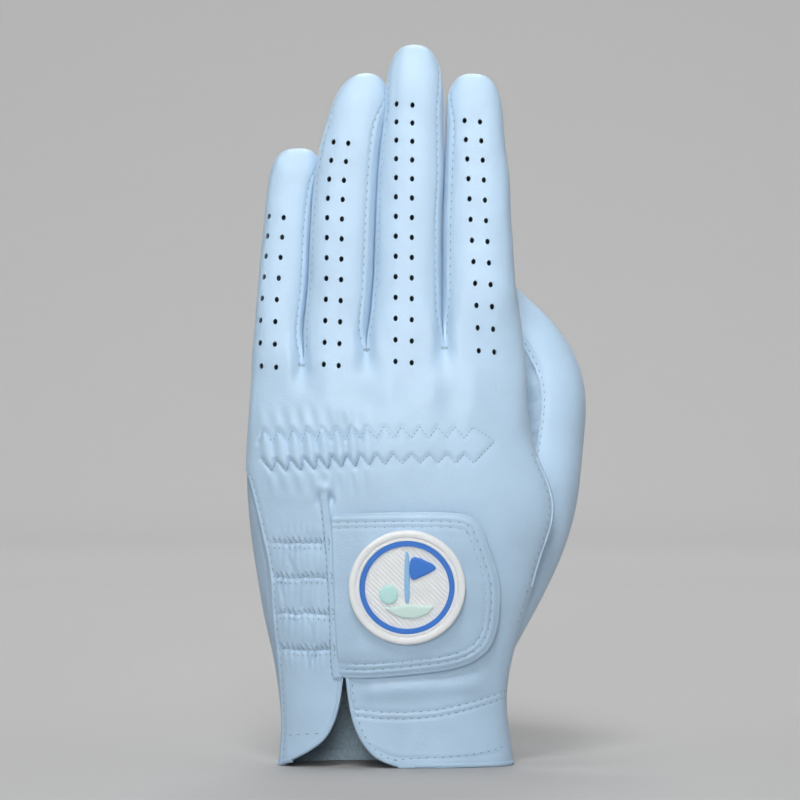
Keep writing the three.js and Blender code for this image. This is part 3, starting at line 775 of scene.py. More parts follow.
def hand_grid(shares, start, end, relief, side):
    """The hand's back (side 1) or palm (side -1) as rows of points; start and end are angles by level."""
    levels = np.linspace(0.2, ROOT_Z, 250)
    rows = [arc(level, start(level), end(level), shares, hand_section) for level in levels]
    grid = np.array(rows)
    facing = ease(0.05, 0.5, -side * normals_of(grid)[..., 1])
    facing[-4:] = facing[-1]
    return pushed(grid, relief, side * facing)


RING_ANGLES = np.linspace(-math.pi, 2 * math.pi, 2161)


def finger_grid(form, root_row, slopes, low_angle, high_angle, sink=0.0, top=None):
    """A strip of a finger between two angles, which starts as the hand's own surface."""
    columns, blend = len(root_row), ROOT_BLEND[form.name]
    even = np.linspace(0, 1, columns)
    ring = form.section(np.full(RING_ANGLES.shape, 150.0), RING_ANGLES)[:, :2]
    walked = walk_along(ring)

    def row(z):
        low = np.interp(low_angle(z), RING_ANGLES, walked)
        high = np.interp(high_angle(z), RING_ANGLES, walked)
        return form.section(z, np.interp(lerp(low, high, even), walked, RING_ANGLES), -sink)

    rows = []
    for level in np.linspace(0, 1, FINGER_ROWS) ** 1.15:
        z = lerp(root_row[:, 2], form.shoulder, level)
        rise = (z - root_row[:, 2])[:, None]
        straight = root_row + slopes * rise * (1 - ROOT_SETTLE * np.clip(rise / blend, 0, 1))
        straight[:, 2] = z
        rows.append(lerp(straight, row(z), ease(0, blend, rise)))
    for dome in np.linspace(0, math.pi / 2, DOME_ROWS + 1)[1:]:
        height = math.sin(dome) ** (2 / form.dome_power)
        level = lerp(form.shoulder, form.tip, height)
        if top is not None and level > top:
            break
        rows.append(row(np.full(columns, level)))
    return np.array(rows)


def top_slopes(grid):
    """Which way each column runs on at the top of a grid, per millimetre of height."""
    step = grid[-1] - grid[-3]
    return step / step[:, 2:]


def form_slope(form):
    return float(form.centre(form.root + 14) - form.centre(form.root)) / 14


def sewn_edges(grid, sides, depth=0.35, line=1.1, width=0.45, fade_top=False, fade_root=True):
    """The groove that a row of stitches pulls into the leather beside each side edge."""
    out = np.zeros(grid.shape[:2])
    for side in sides:
        edge = grid[:, :1] if side < 0 else grid[:, -1:]
        away = np.linalg.norm(grid - edge, axis=2)
        out -= depth * hump(away, line, width) - 0.1 * hump(away, 0.2, 0.5)
    if fade_root:
        out *= ease(0, 5, grid[..., 2] - grid[:1, :, 2])
    if fade_top:
        out *= ease(0, 6, grid[-1:, :, 2] - grid[..., 2])
    return grid + inward_safe(grid) * out[..., None]


def inset_path(grid, side, away, low=0.0, high=999.0):
    """A line on a grid at a distance from one of its side edges, with its normals."""
    normals = inward_safe(grid)
    path, out = [], []
    for row, row_normals in zip(grid, normals):
        if side > 0:
            row, row_normals = row[::-1], row_normals[::-1]
        walked = walk_along(row)
        if walked[-1] < 2 * away or not low <= row[0][2] <= high:
            continue
        path.append([np.interp(away, walked, row[:, k]) for k in range(3)])
        out.append([np.interp(away, walked, row_normals[:, k]) for k in range(3)])
    return np.array(path), np.array(out)


# ---- Building ----
def flex_planes(form):
    """Where a finger starts to turn, and where it has turned fully, along its own line."""
    at = np.array(form.joint["pos_m"]) / MM
    ahead = np.array([form_slope(form), 0, 1.0])
    ahead /= np.linalg.norm(ahead)
    crest = root_line(np.float64(form.centre(form.root) + 12)) + 0.5
    start = at + ahead * min(crest - at[2], -1.0)
    return start * MM, (at + ahead * 9) * MM


def bend_with(piece, form):
    start, end = flex_planes(form)
    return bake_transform(piece, "hand", form.name, start=tuple(start), end=tuple(end))


def hole_cutter(places, surface, radius=0.68, stretch=1.35):
    """Upright oval punches at places on the front, each along the leather's own normal."""
    sides, points, faces = 14, [], []
    for x, z in places:
        hit, normal = surface.from_front(x, z)
        up = np.array([0, 0, 1.0]) - normal * normal[2]
        up /= np.linalg.norm(up)
        across = np.cross(up, normal)
        start = len(points)
        for depth in (1.6, -2.2):
            for side in range(sides):
                angle = 2 * math.pi * side / sides
                rim = across * math.cos(angle) + up * math.sin(angle) * stretch
                points.append(hit + normal * depth + rim * radius)
        faces += tube_faces(2, sides, start)
        faces.append(tuple(range(start + sides - 1, start - 1, -1)))
        faces.append(tuple(range(start + sides, start + 2 * sides)))
    # The punches' dark blue passes onto the hole walls in the cut, as painted shade in the holes.
    return add_object("punches", points, faces, CUT_EDGE, outward=True)


# Each finger's punched rows: x of their middle by height, width apart, lowest, highest and number of pairs.
HOLES = {
    "little": (spline((123.9, -45.9), (130.4, -46.3), (150.7, -45.3), (170.6, -43.8)), 4.6, 123.9, 170.6, 8),
    "ring": (spline((124.4, -26.5), (144, -25.95), (157, -25.75), (170, -25.6), (182, -25.0), (193.7, -23.7)),
             4.6, 124.4, 193.7, 12),
    "middle": (spline((125, -4.2), (158, -4.15), (206, -3.9)), 5.0, 125.3, 205.6, 14),
    "index": (spline((128.6, 21.4), (149.5, 20.3), (163.6, 19.3), (182.8, 18.3), (200.4, 17.2)),
              4.8, 128.6, 200.4, 12),
}


def hole_places(name):
    """Where the holes are: pairs that close up a little towards the tip, the left hole of each higher."""
    centre, apart, low, high, count = HOLES[name]
    rise = np.linspace(0, 1, count)
    heights = low + (high - low) * (rise * 1.09 - 0.09 * rise**2)
    return [(float(centre(z)) + side * apart / 2, float(z) + (0.4 if side < 0 else 0))
            for z in heights for side in (-1, 1)]


def outline_solid(name, outline, depth=(-60.0, 2.0)):
    """A cutter: an outline in x and z, run through in y."""
    count = len(outline)
    points = [(x, y, z) for y in depth for x, z in outline]
    faces = [tuple(range(count)), tuple(range(2 * count - 1, count - 1, -1))]
    for i in range(count):
        ahead = (i + 1) % count
        faces.append((ahead, i, count + i, count + ahead))
    return add_object(name, points, faces, LEATHER, outward=True)


def slit_outline():
    """The slit and the mouth below it, anticlockwise seen from the front."""
    right = rounded(MOUTH_RIGHT)
    left = rounded(MOUTH_LEFT)
    half = 0.12
    top = [(SLIT_TOP[0] + half, SLIT_TOP[1]), (SLIT_TOP[0] - half, SLIT_TOP[1])]
    outline = [(x, z) for x, z in left[::-1]] + [top[1], top[0]] + [(x, z) for x, z in right]
    outline += [(0.0, -4.0), (-50.0, -4.0)]
    return outline


def palm_relief(x, z):
    """The palm's hollows: below each crotch, and the soft creases where the hand folds."""
    out = with_crotches(0.25 * noise(x, z, 11, 13), x, z)
    out -= 0.7 * hump(z - 0.12 * x, 108, 3.5) * ease(-50, -35, x)
    out -= 1.0 * hump(z + 0.45 * x, 92, 5.0) * ease(-45, -20, x)
    out -= 0.8 * hump(x - 0.25 * (z - 60), 12, 4.0) * ease(15, 40, z) * (1 - ease(80, 105, z))
    return out


def crotch_rows(start, end, count=14):
    """The web between two fingers, through the hand from one (point, slope) to another."""
    share = ease(0, 1, np.linspace(0, 1, count))[:, None]
    return [lerp(here, there, share) for here, there in zip(start, end)]


def shaped(piece, body, slot, *nodes):
    if body:
        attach(piece, body)
    if nodes:
        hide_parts(*nodes)
    return piece


def build_palm(marks):
    """The palm's outer face. Below the knuckles it runs on under both edges of the back leather.

    Along the little finger's side its edge is set back further, which leaves a gap at the side seam.
    """
    tucked_under = lambda level: float(1 - ease(110, 131, level))
    palm = hand_grid(marks, lambda level: RIGHT_EDGE - math.radians(4) * tucked_under(level),
                     lambda level: 2 * math.pi + seam_angle(level) + math.radians(3.5) * tucked_under(level),
                     palm_relief, -1)
    from_left = np.linalg.norm(palm - palm[:, -1:], axis=2)
    from_right = np.linalg.norm(palm - palm[:, :1], axis=2)
    tucked = (0.25 + 0.5 * (1 - ease(2.0, 4.5, from_left)) + 0.5 * (1 - ease(2.0, 4.5, from_right)))
    palm = palm - normals_of(palm) * (tucked * (1 - ease(118, 131, palm[..., 2])))[..., None]
    strip = (1 - ease(5.0, 14.0, from_left)) * ease(4, 26, palm[..., 2]) * (1 - ease(88, 104, palm[..., 2]))
    palm[..., 1] += 2.6 * strip
    return palm


def build_hand_and_fingers():
    """The leather of the hand and its four fingers. Pieces that meet share their edges point for point."""
    back_marks = edge_marks(BACK_START, RIGHT_EDGE, CROTCHES, hand_relief)
    palm_marks = edge_marks(RIGHT_EDGE, math.radians(260), CROTCHES[::-1], palm_relief)
    joined = lambda marks: np.concatenate([part[:-1] for part in marks[:-1]] + [marks[-1]])
    back = hand_grid(joined(back_marks), seam_angle, lambda level: RIGHT_EDGE, hand_relief, 1)
    palm = build_palm(joined(palm_marks))
    pieces = {"back": sewn_edges(back, (-1,), 0.3, 1.0, 0.6, fade_top=True, fade_root=False), "palm": palm}
    back_slopes, palm_slopes = top_slopes(back), top_slopes(palm)
    grids = {}
    for i, name in enumerate(FINGERS):
        form = FORMS[name]
        span, palm_span = (slice(j * FINGER_COLUMNS, (j + 1) * FINGER_COLUMNS + 1) for j in (i, 3 - i))
        on_back, on_palm = (back[-1, span], back_slopes[span]), (palm[-1, palm_span], palm_slopes[palm_span])
        left = lambda z, form=form: form.seam_angle(-1, z)
        right = lambda z, form=form: form.seam_angle(1, z)
        palm_right = lambda z, form=form: form.palm_edge(1, z)
        palm_left = lambda z, form=form: form.palm_edge(-1, z)
        grids[name, "back"] = finger_grid(form, *on_back, left, right)
        grids[name, "palm"] = finger_grid(form, *on_palm, palm_right, palm_left, 0.25)
        first, last = (lambda rows: [row[0] for row in rows]), (lambda rows: [row[-1] for row in rows])
        if 1 in form.seams:
            web = crotch_rows(last(on_back), first(on_palm))
            grids[name, "right"] = finger_grid(form, *web, right, palm_right, -0.12, form.tip - 2.5)
        if -1 in form.seams:
            web = crotch_rows(last(on_palm), first(on_back))
            whole_left = lambda z: 2 * math.pi + left(z)
            grids[name, "left"] = finger_grid(form, *web, palm_left, whole_left, -0.12, form.tip - 2.5)
    return pieces, grids


hand_grids, finger_grids = build_hand_and_fingers()
hand_back = shell("back_leather", hand_grids["back"], LEATHER)
hand_palm = shell("palm_leather", hand_grids["palm"], PALM_LEATHER)
uncut_back = Surface(hand_back)
cut(hand_back, outline_solid("slit", slit_outline()))
finger_backs = {}
for name in FINGERS:
    form = FORMS[name]
    sewn = sewn_edges(finger_grids[name, "back"], tuple(form.seams))
    finger_backs[name] = shell(f"{name}_back_leather", sewn, LEATHER)
    finger_palm = shell(f"{name}_palm_leather", finger_grids[name, "palm"], PALM_LEATHER)
    bend_with(finger_palm, form)
    shaped(finger_palm, None, "leather", f"{name}_palm")
    for side in ("left", "right"):
        if (name, side) in finger_grids:
            strip = shell(f"{name}_side_leather_{side}", finger_grids[name, side], LEATHER)
            bend_with(strip, form)
            shaped(strip, None, "leather", f"{name}_fourchette_{side}")
front = Surface(hand_back, *finger_backs.values())
for name in FINGERS:
    places = hole_places(name)
    on_finger = [place for place in places if place[1] > root_line(np.float64(place[0])) + 1.2]
    on_hand = [place for place in places if place not in on_finger]
    cut(finger_backs[name], hole_cutter(on_finger, front))
    if on_hand:
        cut(hand_back, hole_cutter(on_hand, front))
    bend_with(finger_backs[name], FORMS[name])
    shaped(finger_backs[name], None, "leather", f"{name}_back")
shaped(hand_back, "hand", "leather", "back_panel", "cuff_band")
shaped(hand_palm, "hand", "leather", "palm_panel")


# ---- Seams of the fingers and the hand ----
def sew_finger(form, side, label):
    """The rows of stitches along one sewn side of a finger, on its back leather and on its palm leather."""
    back = sewn_edges(finger_grids[form.name, "back"], tuple(form.seams))
    back_foot = form.root + (1.5 if form.name == "little" else 2.5)
    for half, grid, edge, foot in (("back", back, side, back_foot),
                                   ("palm", finger_grids[form.name, "palm"], -side, form.root + 2.5)):
        path, normals = inset_path(grid, edge, 1.1, foot, form.tip - 1)
        seam = stitches(f"{form.name}_{half}_seam_{label}", path, normals, THREAD, 2.55, 1.3, 0.17)
        bend_with(seam, form)


def sew(name, outline, pitch=2.5, length=1.3, radius=0.17, body="hand", step=0.4, **settings):
    """A row of stitches under a line drawn on the front."""
    line = np.asarray(outline, float)
    count = max(int(length_of(line) / step), 3)
    path, normals = front.trace(resampled(line, count))
    row = stitches(name, path, normals, THREAD, pitch, length, radius, **settings)
    return shaped(row, body, "leather")


for form in FORMS.values():
    for side, label in ((-1, "left"), (1, "right")):
        if side in form.seams:
            sew_finger(form, side, label)
front = Surface(hand_back, *finger_backs.values())
path, normals = inset_path(hand_grids["back"], -1, 1.0, 1.5, 126)
shaped(stitches("side_seam_stitches", path, normals, THREAD, 2.4, 1.3, 0.15), "hand", "leather")
for k, (x, z) in enumerate(((-35.7, 124.6), (-15.7, 129.4), (8.5, 129.9))):
    sew(f"crotch_tack_{k + 1}", ((x - 1.1, z), (x + 1.1, z)), 0.45, 1.5, 0.16, step=0.2, turn=math.pi / 2)
for side in ("upper", "lower"):
    sew(f"knuckle_stitches_{side}", ZIGZAG[side], 1.35, 0.95, 0.14, step=0.25)
for k, offset in enumerate((0, CUFF_SEAM_GAP)):
    sew(f"cuff_stitches_{k + 1}", rounded(cuff_seam(offset)), 2.4, 1.35, 0.17)


# ---- Bound edges ----
def ellipse(wide, tall, low=0.0, count=14):
    angles = np.linspace(0, 2 * math.pi, count, endpoint=False)
    return [(wide * math.cos(a), low + tall * math.sin(a)) for a in angles]


def bind(name, outline, wide, tall, low, *nodes):
    line = np.asarray(outline, float)
    count = int(length_of(line) / 0.5)
    path, normals = front.trace(resampled(line, count))
    roll = swept(name, path, normals, ellipse(wide, tall, low), EDGE_LEATHER)
    return shaped(roll, "hand", "leather", *nodes)


def offset_line(line, away):
    """A line moved sideways, to its left where away is positive."""
    line = np.asarray(line, float)
    return line + left_of(np.gradient(line, axis=0)) * away


def flat_band(half, height):
    """The section of a folded strip: flat on top, with soft edges."""
    corner = 0.35
    return [(-half, -0.5), (half, -0.5), (half, height - corner), (half - 0.1, height - 0.1),
            (half - corner, height), (corner - half, height), (0.1 - half, height - 0.1),
            (-half, height - corner)]


heights = np.linspace(86.4, 26.6, 160)
path, normals = uncut_back.trace(np.stack([STRIP_LINE(heights), heights], 1))
tucked_in = 1.3 * (ease(83.6, 86.4, heights) + 1 - ease(26.6, 28.4, heights))
path = path - normals * tucked_in[:, None]
strip = swept("slit_strip", path, normals, flat_band(STRIP_HALF, 0.95), EDGE_LEATHER)
shaped(strip, "hand", "leather", "slit_binding")
front = Surface(hand_back, strip, *finger_backs.values())
heights = np.linspace(80.5, 28, 60)
sew("strip_stitches", np.stack([STRIP_LINE(heights) - STRIP_HALF - 0.25, heights], 1), 2.1, 1.35, 0.17)
# Each gathered row has three rows of thread: its name, height above the row, dash length and turn.
WRIST_THREADS = (("upper", 1.25, 2.2, 1.15), ("lower", 0.1, 1.0, 0.0), ("foot", -1.5, 0.9, 1.45))
for k, row in enumerate(WRIST_ROWS):
    xs = np.linspace(float(SIDE_SEAM(row)) + 1.2, float(STRIP_LINE(row)) + 0.8, 44)
    level = row + 0.3 * noise(xs, xs * 0, 3.1, 40 + k)
    for part, above, length, turn in WRIST_THREADS:
        line = np.stack([xs, level + above], 1)
        sew(f"wrist_stitches_{k + 1}_{part}", line, WRIST_PITCH, length, 0.17, turn=turn)


left_edge = resampled(rounded([(SLIT_TOP[0] - 0.12, SLIT_TOP[1] - 0.5), *MOUTH_LEFT]), 160)
right_edge = resampled(rounded([(SLIT_TOP[0] + 0.12, SLIT_TOP[1] - 0.5), *MOUTH_RIGHT]), 160)
left_mouth, right_mouth = (edge[edge[:, 1] < 29] for edge in (left_edge, right_edge))
bind("binding_left", offset_line(left_mouth, -0.6), 0.7, 0.62, -0.1)
bind("binding_right", offset_line(right_mouth, 0.6), 0.7, 0.62, -0.1)
mouth = right_edge[:, 1] < 27
sew("mouth_stitches", offset_line(right_edge, 1.75)[mouth], 2.4, 1.2, 0.16)
hem_line = [(-8, 2.6), (2, 3.2), (12, 3.6), (20, 4.4), (27, 6.2)]
sew("hem_stitches", rounded(hem_line), 2.4, 1.2, 0.16)
sew("left_hem_stitches", [(-40.5, 9.7), (-33.5, 10.4), (-29.6, 10.6)], 3.4, 1.5, 0.17)


# ---- The closure tab ----
def back_y(x, z):
    """The plain form of the back of the hand."""
    level = z * ROOT_Z / root_line(x)
    left, right = HAND_LEFT(level), HAND_RIGHT(level)
    share = np.clip((x - left) / (right - left), 0.002, 0.998)
    sine = 2 * share - 1
    cosine = (1 - np.abs(sine) ** HAND_POWER) ** (1 / HAND_POWER)
    middle = lerp(MIDDLE_LEFT(level), MIDDLE_RIGHT(level), share)
    return middle - cosine * (middle - HAND_BACK(level))


def pad(name, outline, top, bottom, material, edge=0.5, rings=26, place=None):
    """A flat piece within an outline. top and bottom give heights from x, z and distance from the edge."""
    outline = np.asarray(outline, float)
    centre = outline.mean(axis=0)
    closed = np.concatenate([outline, outline[:1]])
    shares = 1 - np.linspace(1, 0, rings) ** 1.6
    loops, heights = [], []

    def loop(share, height, bulge=0.0):
        flat = lerp(centre, outline, share)
        away = distance_to(closed, flat[:, 0], flat[:, 1]) if share < 1 else np.zeros(len(flat))
        if bulge:
            out = outline - centre
            flat = flat + out / np.linalg.norm(out, axis=1, keepdims=True) * bulge
        loops.append(flat)
        heights.append(height(flat[:, 0], flat[:, 1], away))

    for share in shares:
        loop(share, top)
    for turn in (30, 60, 90, 120, 150):
        drop = (1 - math.cos(math.radians(turn))) / 2
        mixed = lambda x, z, away, drop=drop: lerp(top(x, z, away), bottom(x, z, away), drop)
        loop(1.0, mixed, edge * math.sin(math.radians(turn)))
    for share in shares[::-1]:
        loop(share, bottom)
    flat, height = np.array(loops), np.array(heights)
    if place is None:
        points = np.stack([flat[..., 0], back_y(flat[..., 0], flat[..., 1]) - height, flat[..., 1]], axis=-1)
    else:
        points = place(flat[..., 0], flat[..., 1], height)
    rows, columns = flat.shape[:2]
    faces = tube_faces(rows, columns)
    made = add_object(name, points.reshape(-1, 3), faces, material)
    weld(made)
    face_outward(made.data)
    return made


TAB_OUTLINE = ((-26.2, 77.9), (-24.2, 29.0), (-23.2, 28.4), (-13.8, 28.5), (-3.1, 29.4), (10.0, 30.9),
               (16.6, 33.0), (20.9, 36.0), (23.2, 39.5), (24.6, 44.5), (25.2, 52.0), (24.9, 58.3),
               (22.6, 65.5), (20.0, 73.0), (17.9, 76.6), (14.2, 78.5), (6, 78.9), (-8, 78.8), (-25.4, 78.5))


def corner_cut(corners, times=3, share=0.22):
    """A closed outline with its corners cut round."""
    points = np.asarray(corners, float)
    for _ in range(times):
        ahead = np.roll(points, -1, axis=0)
        points = np.stack([lerp(points, ahead, share), lerp(points, ahead, 1 - share)], axis=1).reshape(-1, 2)
    return points


def even_outline(points, count):
    closed = np.concatenate([points, points[:1]])
    return resampled(closed, count + 1)[:-1]


tab_line = even_outline(corner_cut(TAB_OUTLINE), 300)
TAB_ROWS = (2.2, 3.95)
low_corner = int(np.argmin(tab_line[:, 0] + 0.5 * tab_line[:, 1]))
from_corner = np.roll(tab_line, -low_corner, axis=0)
free_edge = from_corner[: int(np.argmax(from_corner[:, 1] - 0.5 * from_corner[:, 0])) + 1]
free_edge = np.concatenate([[(-30, free_edge[0][1])], free_edge, [(-30, free_edge[-1][1])]])


def tab_top(x, z, away=None):
    """How far the tab's face stands off the back; pad also gives the distance from the outline, which is not
    used.
    """
    from_free = distance_to(free_edge, x, z)
    height = 2.75 + 0.5 * ease(0, 9, from_free) + 0.5 * ease(0, 1.4, from_free)
    for row in TAB_ROWS:
        height = height - 0.3 * hump(from_free, row, 0.42)
    height = height + 0.1 * hump(from_free, sum(TAB_ROWS) / 2, 0.5) + 0.12 * noise(x, z, 8, 21)
    return height - 2.0 * (1 - ease(-26.4, -15, x)) - 0.8 * (1 - ease(28, 37, z))


def tab_under(x, z, away):
    return tab_top(x, z) - lerp(1.25, 1.1, ease(0, 5, away)) - 0.1


tab = pad("tab_leather", tab_line, tab_top, tab_under, TAB_LEATHER, 0.55, 40)


def inset_outline(points, away):
    """A closed outline, drawn anticlockwise, moved inward."""
    return points + left_of(np.roll(points, -1, axis=0) - np.roll(points, 1, axis=0)) * away


def tab_place(flat):
    """Points on the tab's face, and their normals."""
    def at(x, z):
        return np.stack([x, back_y(x, z) - tab_top(x, z), z], axis=-1)

    x, z = flat.T
    return at(x, z), unit_rows(np.cross(at(x + 0.1, z) - at(x - 0.1, z), at(x, z + 0.1) - at(x, z - 0.1)))


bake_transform(tab)
shaped(tab, None, "leather", "closure_tab")
for k, away in enumerate(TAB_ROWS):
    line = offset_line(resampled(free_edge, 400), away)
    kept = line[line[:, 0] > STRIP_LINE(line[:, 1]) + STRIP_HALF + 0.4]
    row = stitches(f"tab_stitches_{k + 1}", *tab_place(kept), THREAD, 2.9, 1.5, 0.2)
    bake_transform(row)
lining_line = even_outline(inset_outline(tab_line, 1.2), 200)
lining = pad("tab_lining_suede", lining_line, lambda x, z, away: tab_under(x, z, away + 1.2) + 0.1,
             lambda x, z, away: tab_under(x, z, away + 1.2) - 0.25, SUEDE, 0.1, 20)
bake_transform(lining)
shaped(lining, None, "suede_lining", "tab_lining")
HOOK_OUTLINE = ((-8, 35.5), (6, 35.8), (15, 38), (18.5, 44), (18.5, 58), (15, 68), (10, 72.5), (-8, 73))
LOOP_OUTLINE = ((-18, 34.5), (8, 34.5), (19, 37), (22, 45), (22, 59), (18.5, 69), (12, 74), (-18, 74))
hook_line = even_outline(corner_cut(HOOK_OUTLINE), 160)
loop_line = even_outline(corner_cut(LOOP_OUTLINE), 160)
hook = pad("hook_pad", hook_line, lambda x, z, away: tab_under(x, z, away + 5) - 0.25,
           lambda x, z, away: tab_under(x, z, away + 5) - 0.85 - 0.1 * ease(0, 1, away), HOOK_PILE, 0.1, 18)
shaped(hook, "tab", "hook", "hook_patch")
loop_pad = pad("loop_pad", loop_line, lambda x, z, away: 1.0 + 0.2 * ease(0, 1.5, away),
               lambda x, z, away: 0.2 + 0 * x, LOOP_PILE, 0.15, 18)
shaped(loop_pad, "hand", "loop", "loop_patch")


# ---- The badge ----
BADGE_AT, BADGE_LEAN = np.array((-3.15, -29.15, 56.6)), math.radians(9.87)
BADGE_UP = np.array((0, -math.sin(BADGE_LEAN), math.cos(BADGE_LEAN)))
BADGE_OUT = np.array((0, -math.cos(BADGE_LEAN), -math.sin(BADGE_LEAN)))
BADGE_ACROSS = np.array((1.0, 0, 0))


def on_badge(u, v, w):
    u, v, w = (np.asarray(value, float)[..., None] for value in (u, v, w))
    return BADGE_AT + BADGE_ACROSS * u + BADGE_UP * v + BADGE_OUT * w


def lathe(name, profile, material, count=160):
    """A ring or disc turned from (radius, height) points, the first and last on the same line."""
    profile = np.asarray(profile, float)
    turn = np.linspace(0, 2 * math.pi, count, endpoint=False)
    radius, height = profile[:, :1], profile[:, 1:]
    points = on_badge(radius * np.cos(turn), radius * np.sin(turn), height + 0 * turn)
    faces = tube_faces(len(profile), count)
    made = add_object(name, points.reshape(-1, 3), faces, material, 35)
    weld(made)
    face_outward(made.data)
    return made


# (radius, height) profiles of the base, with its rim and the groove inside it, and of the ring on its face.
RIM_PROFILE = ((0, 0), (17.0, 0), (17.6, 0.3), (17.85, 0.9), (17.9, 1.7), (17.8, 2.1), (17.5, 2.35),
               (17.0, 2.45), (16.2, 2.42), (15.85, 2.25), (15.7, 1.95), (15.55, 1.9), (15.4, 2.1),
               (15.2, 2.15), (14.75, 2.12), (14.6, 1.95), (14.5, 1.5), (13.0, 1.5), (12.85, 1.35), (0, 1.35))
BAND_PROFILE = ((12.95, 1.4), (14.55, 1.4), (14.55, 1.95), (14.4, 2.12), (13.15, 2.12), (12.95, 1.9),
                (12.95, 1.4))
shaped(lathe("badge_rim", RIM_PROFILE, WHITE), "tab", "white_rubber", "badge_base")
shaped(lathe("badge_band", BAND_PROFILE, BLUE), "tab", "blue_rubber", "badge_ring")


def badge_ribs():
    """Fine slanted ribs moulded across the disc."""
    reach, pitch, sides = 12.75, 1.1, 6
    points, faces = [], []
    for k in range(-11, 12):
        across = k * pitch
        half = math.sqrt(max(reach**2 - across**2, 0)) - 0.1
        start = len(points)
        for along in (-half, half):
            for side in range(sides):
                angle = math.pi * side / (sides - 1)
                off = across + 0.46 * math.cos(angle)
                u, v = (along + off) / math.sqrt(2), (off - along) / math.sqrt(2)
                points.append(on_badge(u, v, 1.3 + 0.17 * math.sin(angle) ** 0.5))
        faces += [(start + i, start + i + 1, start + sides + i + 1, start + sides + i)
                  for i in range(sides - 1)]
        faces.append((start + sides - 1, start, start + sides, start + 2 * sides - 1))
        faces.append(tuple(range(start, start + sides)))
        faces.append(tuple(range(start + 2 * sides - 1, start + sides - 1, -1)))
    return add_object("badge_ribs", points, faces, WHITE, 50, outward=True)


shaped(badge_ribs(), "tab", "white_rubber")
STITCH_RADIUS, STITCH_HEIGHT = 14.98, 2.13
turn = np.linspace(0, 2 * math.pi, 400)
rim_path = on_badge(STITCH_RADIUS * np.cos(turn), STITCH_RADIUS * np.sin(turn), STITCH_HEIGHT + 0 * turn)
rim_normals = np.broadcast_to(BADGE_OUT, rim_path.shape)
shaped(stitches("badge_stitches", rim_path, rim_normals, WHITE, 1.2, 0.75, 0.15), "tab", "white_rubber")


EMBLEM_FOOT = 1.45
BALL_AT, BALL_RADIUS = (-5.6, -2.2), 2.9
BALL = [(BALL_AT[0] + BALL_RADIUS * math.cos(angle), BALL_AT[1] + BALL_RADIUS * math.sin(angle))
        for angle in np.linspace(0, 2 * math.pi, 24, endpoint=False)]
# A generic golf flag, ball and green, each with its outline, height, soft edge's width, material and slot.
EMBLEM = {
    "pennant": (((0.9, 10.6), (0.9, 1.9), (5.0, 3.6), (10.0, 6.3)), 0.7, 0.8, BLUE, "blue_rubber"),
    "pole": (((-0.75, 11.2), (-0.85, -4.8), (0.85, -4.8), (0.75, 11.2)), 0.75, 0.4, LIGHT_BLUE,
             "light_blue_rubber"),
    "ball": (BALL, 1.0, 2.0, AQUA, "aqua_rubber"),
    "green": (((-7.6, -6.0), (-3.0, -9.2), (2.0, -9.9), (6.2, -8.6), (8.6, -5.6), (4.6, -5.9), (0.5, -5.3),
               (-4.0, -6.2)), 0.7, 0.8, MINT, "mint_rubber"),
}


def moulded(name, outline, height, soft_edge, material):
    """A raised rubber shape with soft edges on the badge."""
    def top(u, v, away):
        inward = np.clip(away / soft_edge, 0, 1)
        return EMBLEM_FOOT + height * (0.55 + 0.45 * np.sqrt(1 - (1 - inward) ** 2))

    line = even_outline(corner_cut(outline, 2, 0.2), 120)
    return pad(name, line, top, lambda u, v, away: EMBLEM_FOOT - 0.2 + 0 * u, material, 0.05, 14, on_badge)


for name, (outline, height, soft_edge, material, slot) in EMBLEM.items():
    made = moulded(f"badge_{name}", outline, height, soft_edge, material)
    shaped(made, "tab", slot, f"emblem_{name}")


# ---- The thumb ----
# Points down the thumb's middle, each with the thumb's radius there.
THUMB_LINE = ((19.85, -6.7, 40, 11), (27.85, 1.3, 58, 13), (35.85, 9.3, 80, 14), (40.05, 16.3, 102, 12.9),
              (40.45, 21.8, 120, 12.2), (34.6, 24.3, 132.5, 10.7), (27.2, 24.8, 141.8, 8.9))
THUMB_DOME, THUMB_COLUMNS, THUMB_SEAM = 8.2, 60, math.radians(-8)
THUMB_POWER, THUMB_DOME_POWER = 2.15, 2.3


def thumb_grid(low, high, columns, out=0.0):
    """The thumb's tube between two angles round it, from inside the hand to its tip."""
    line = np.array(THUMB_LINE, float)
    walked = walk_along(line[:, :3])
    curves = [spline(*zip(walked, line[:, k])) for k in range(4)]
    stem = np.linspace(0, walked[-1], 130)
    last = len(stem) - 1
    dome = np.sin(np.linspace(0, math.pi / 2, 22)[1:])
    centre = np.array([[float(curve(place)) for curve in curves[:3]] for place in stem])
    ahead = np.gradient(centre, axis=0)
    ahead = unit_rows(ahead)
    radius = np.array([float(curves[3](place)) for place in stem])
    for share in dome:
        closing = (1 - share**THUMB_DOME_POWER) ** (1 / THUMB_DOME_POWER) if share < 0.9999 else 0
        centre = np.concatenate([centre, [centre[last] + ahead[last] * THUMB_DOME * share]])
        ahead = np.concatenate([ahead, ahead[last : last + 1]])
        radius = np.append(radius, radius[last] * closing)
    to_front = np.array((0, -1.0, 0)) - ahead * -ahead[:, 1:2]
    to_front = unit_rows(to_front)
    to_side = np.cross(to_front, ahead)
    to_side *= np.sign(to_side[:, :1])
    angles = np.linspace(low, high, columns)
    sine, cosine = power(np.sin(angles), 2 / THUMB_POWER), power(np.cos(angles), 2 / THUMB_POWER)
    around = to_front[:, None] * cosine[None, :, None] + to_side[:, None] * sine[None, :, None]
    return centre[:, None] + around * (radius + out)[:, None, None]


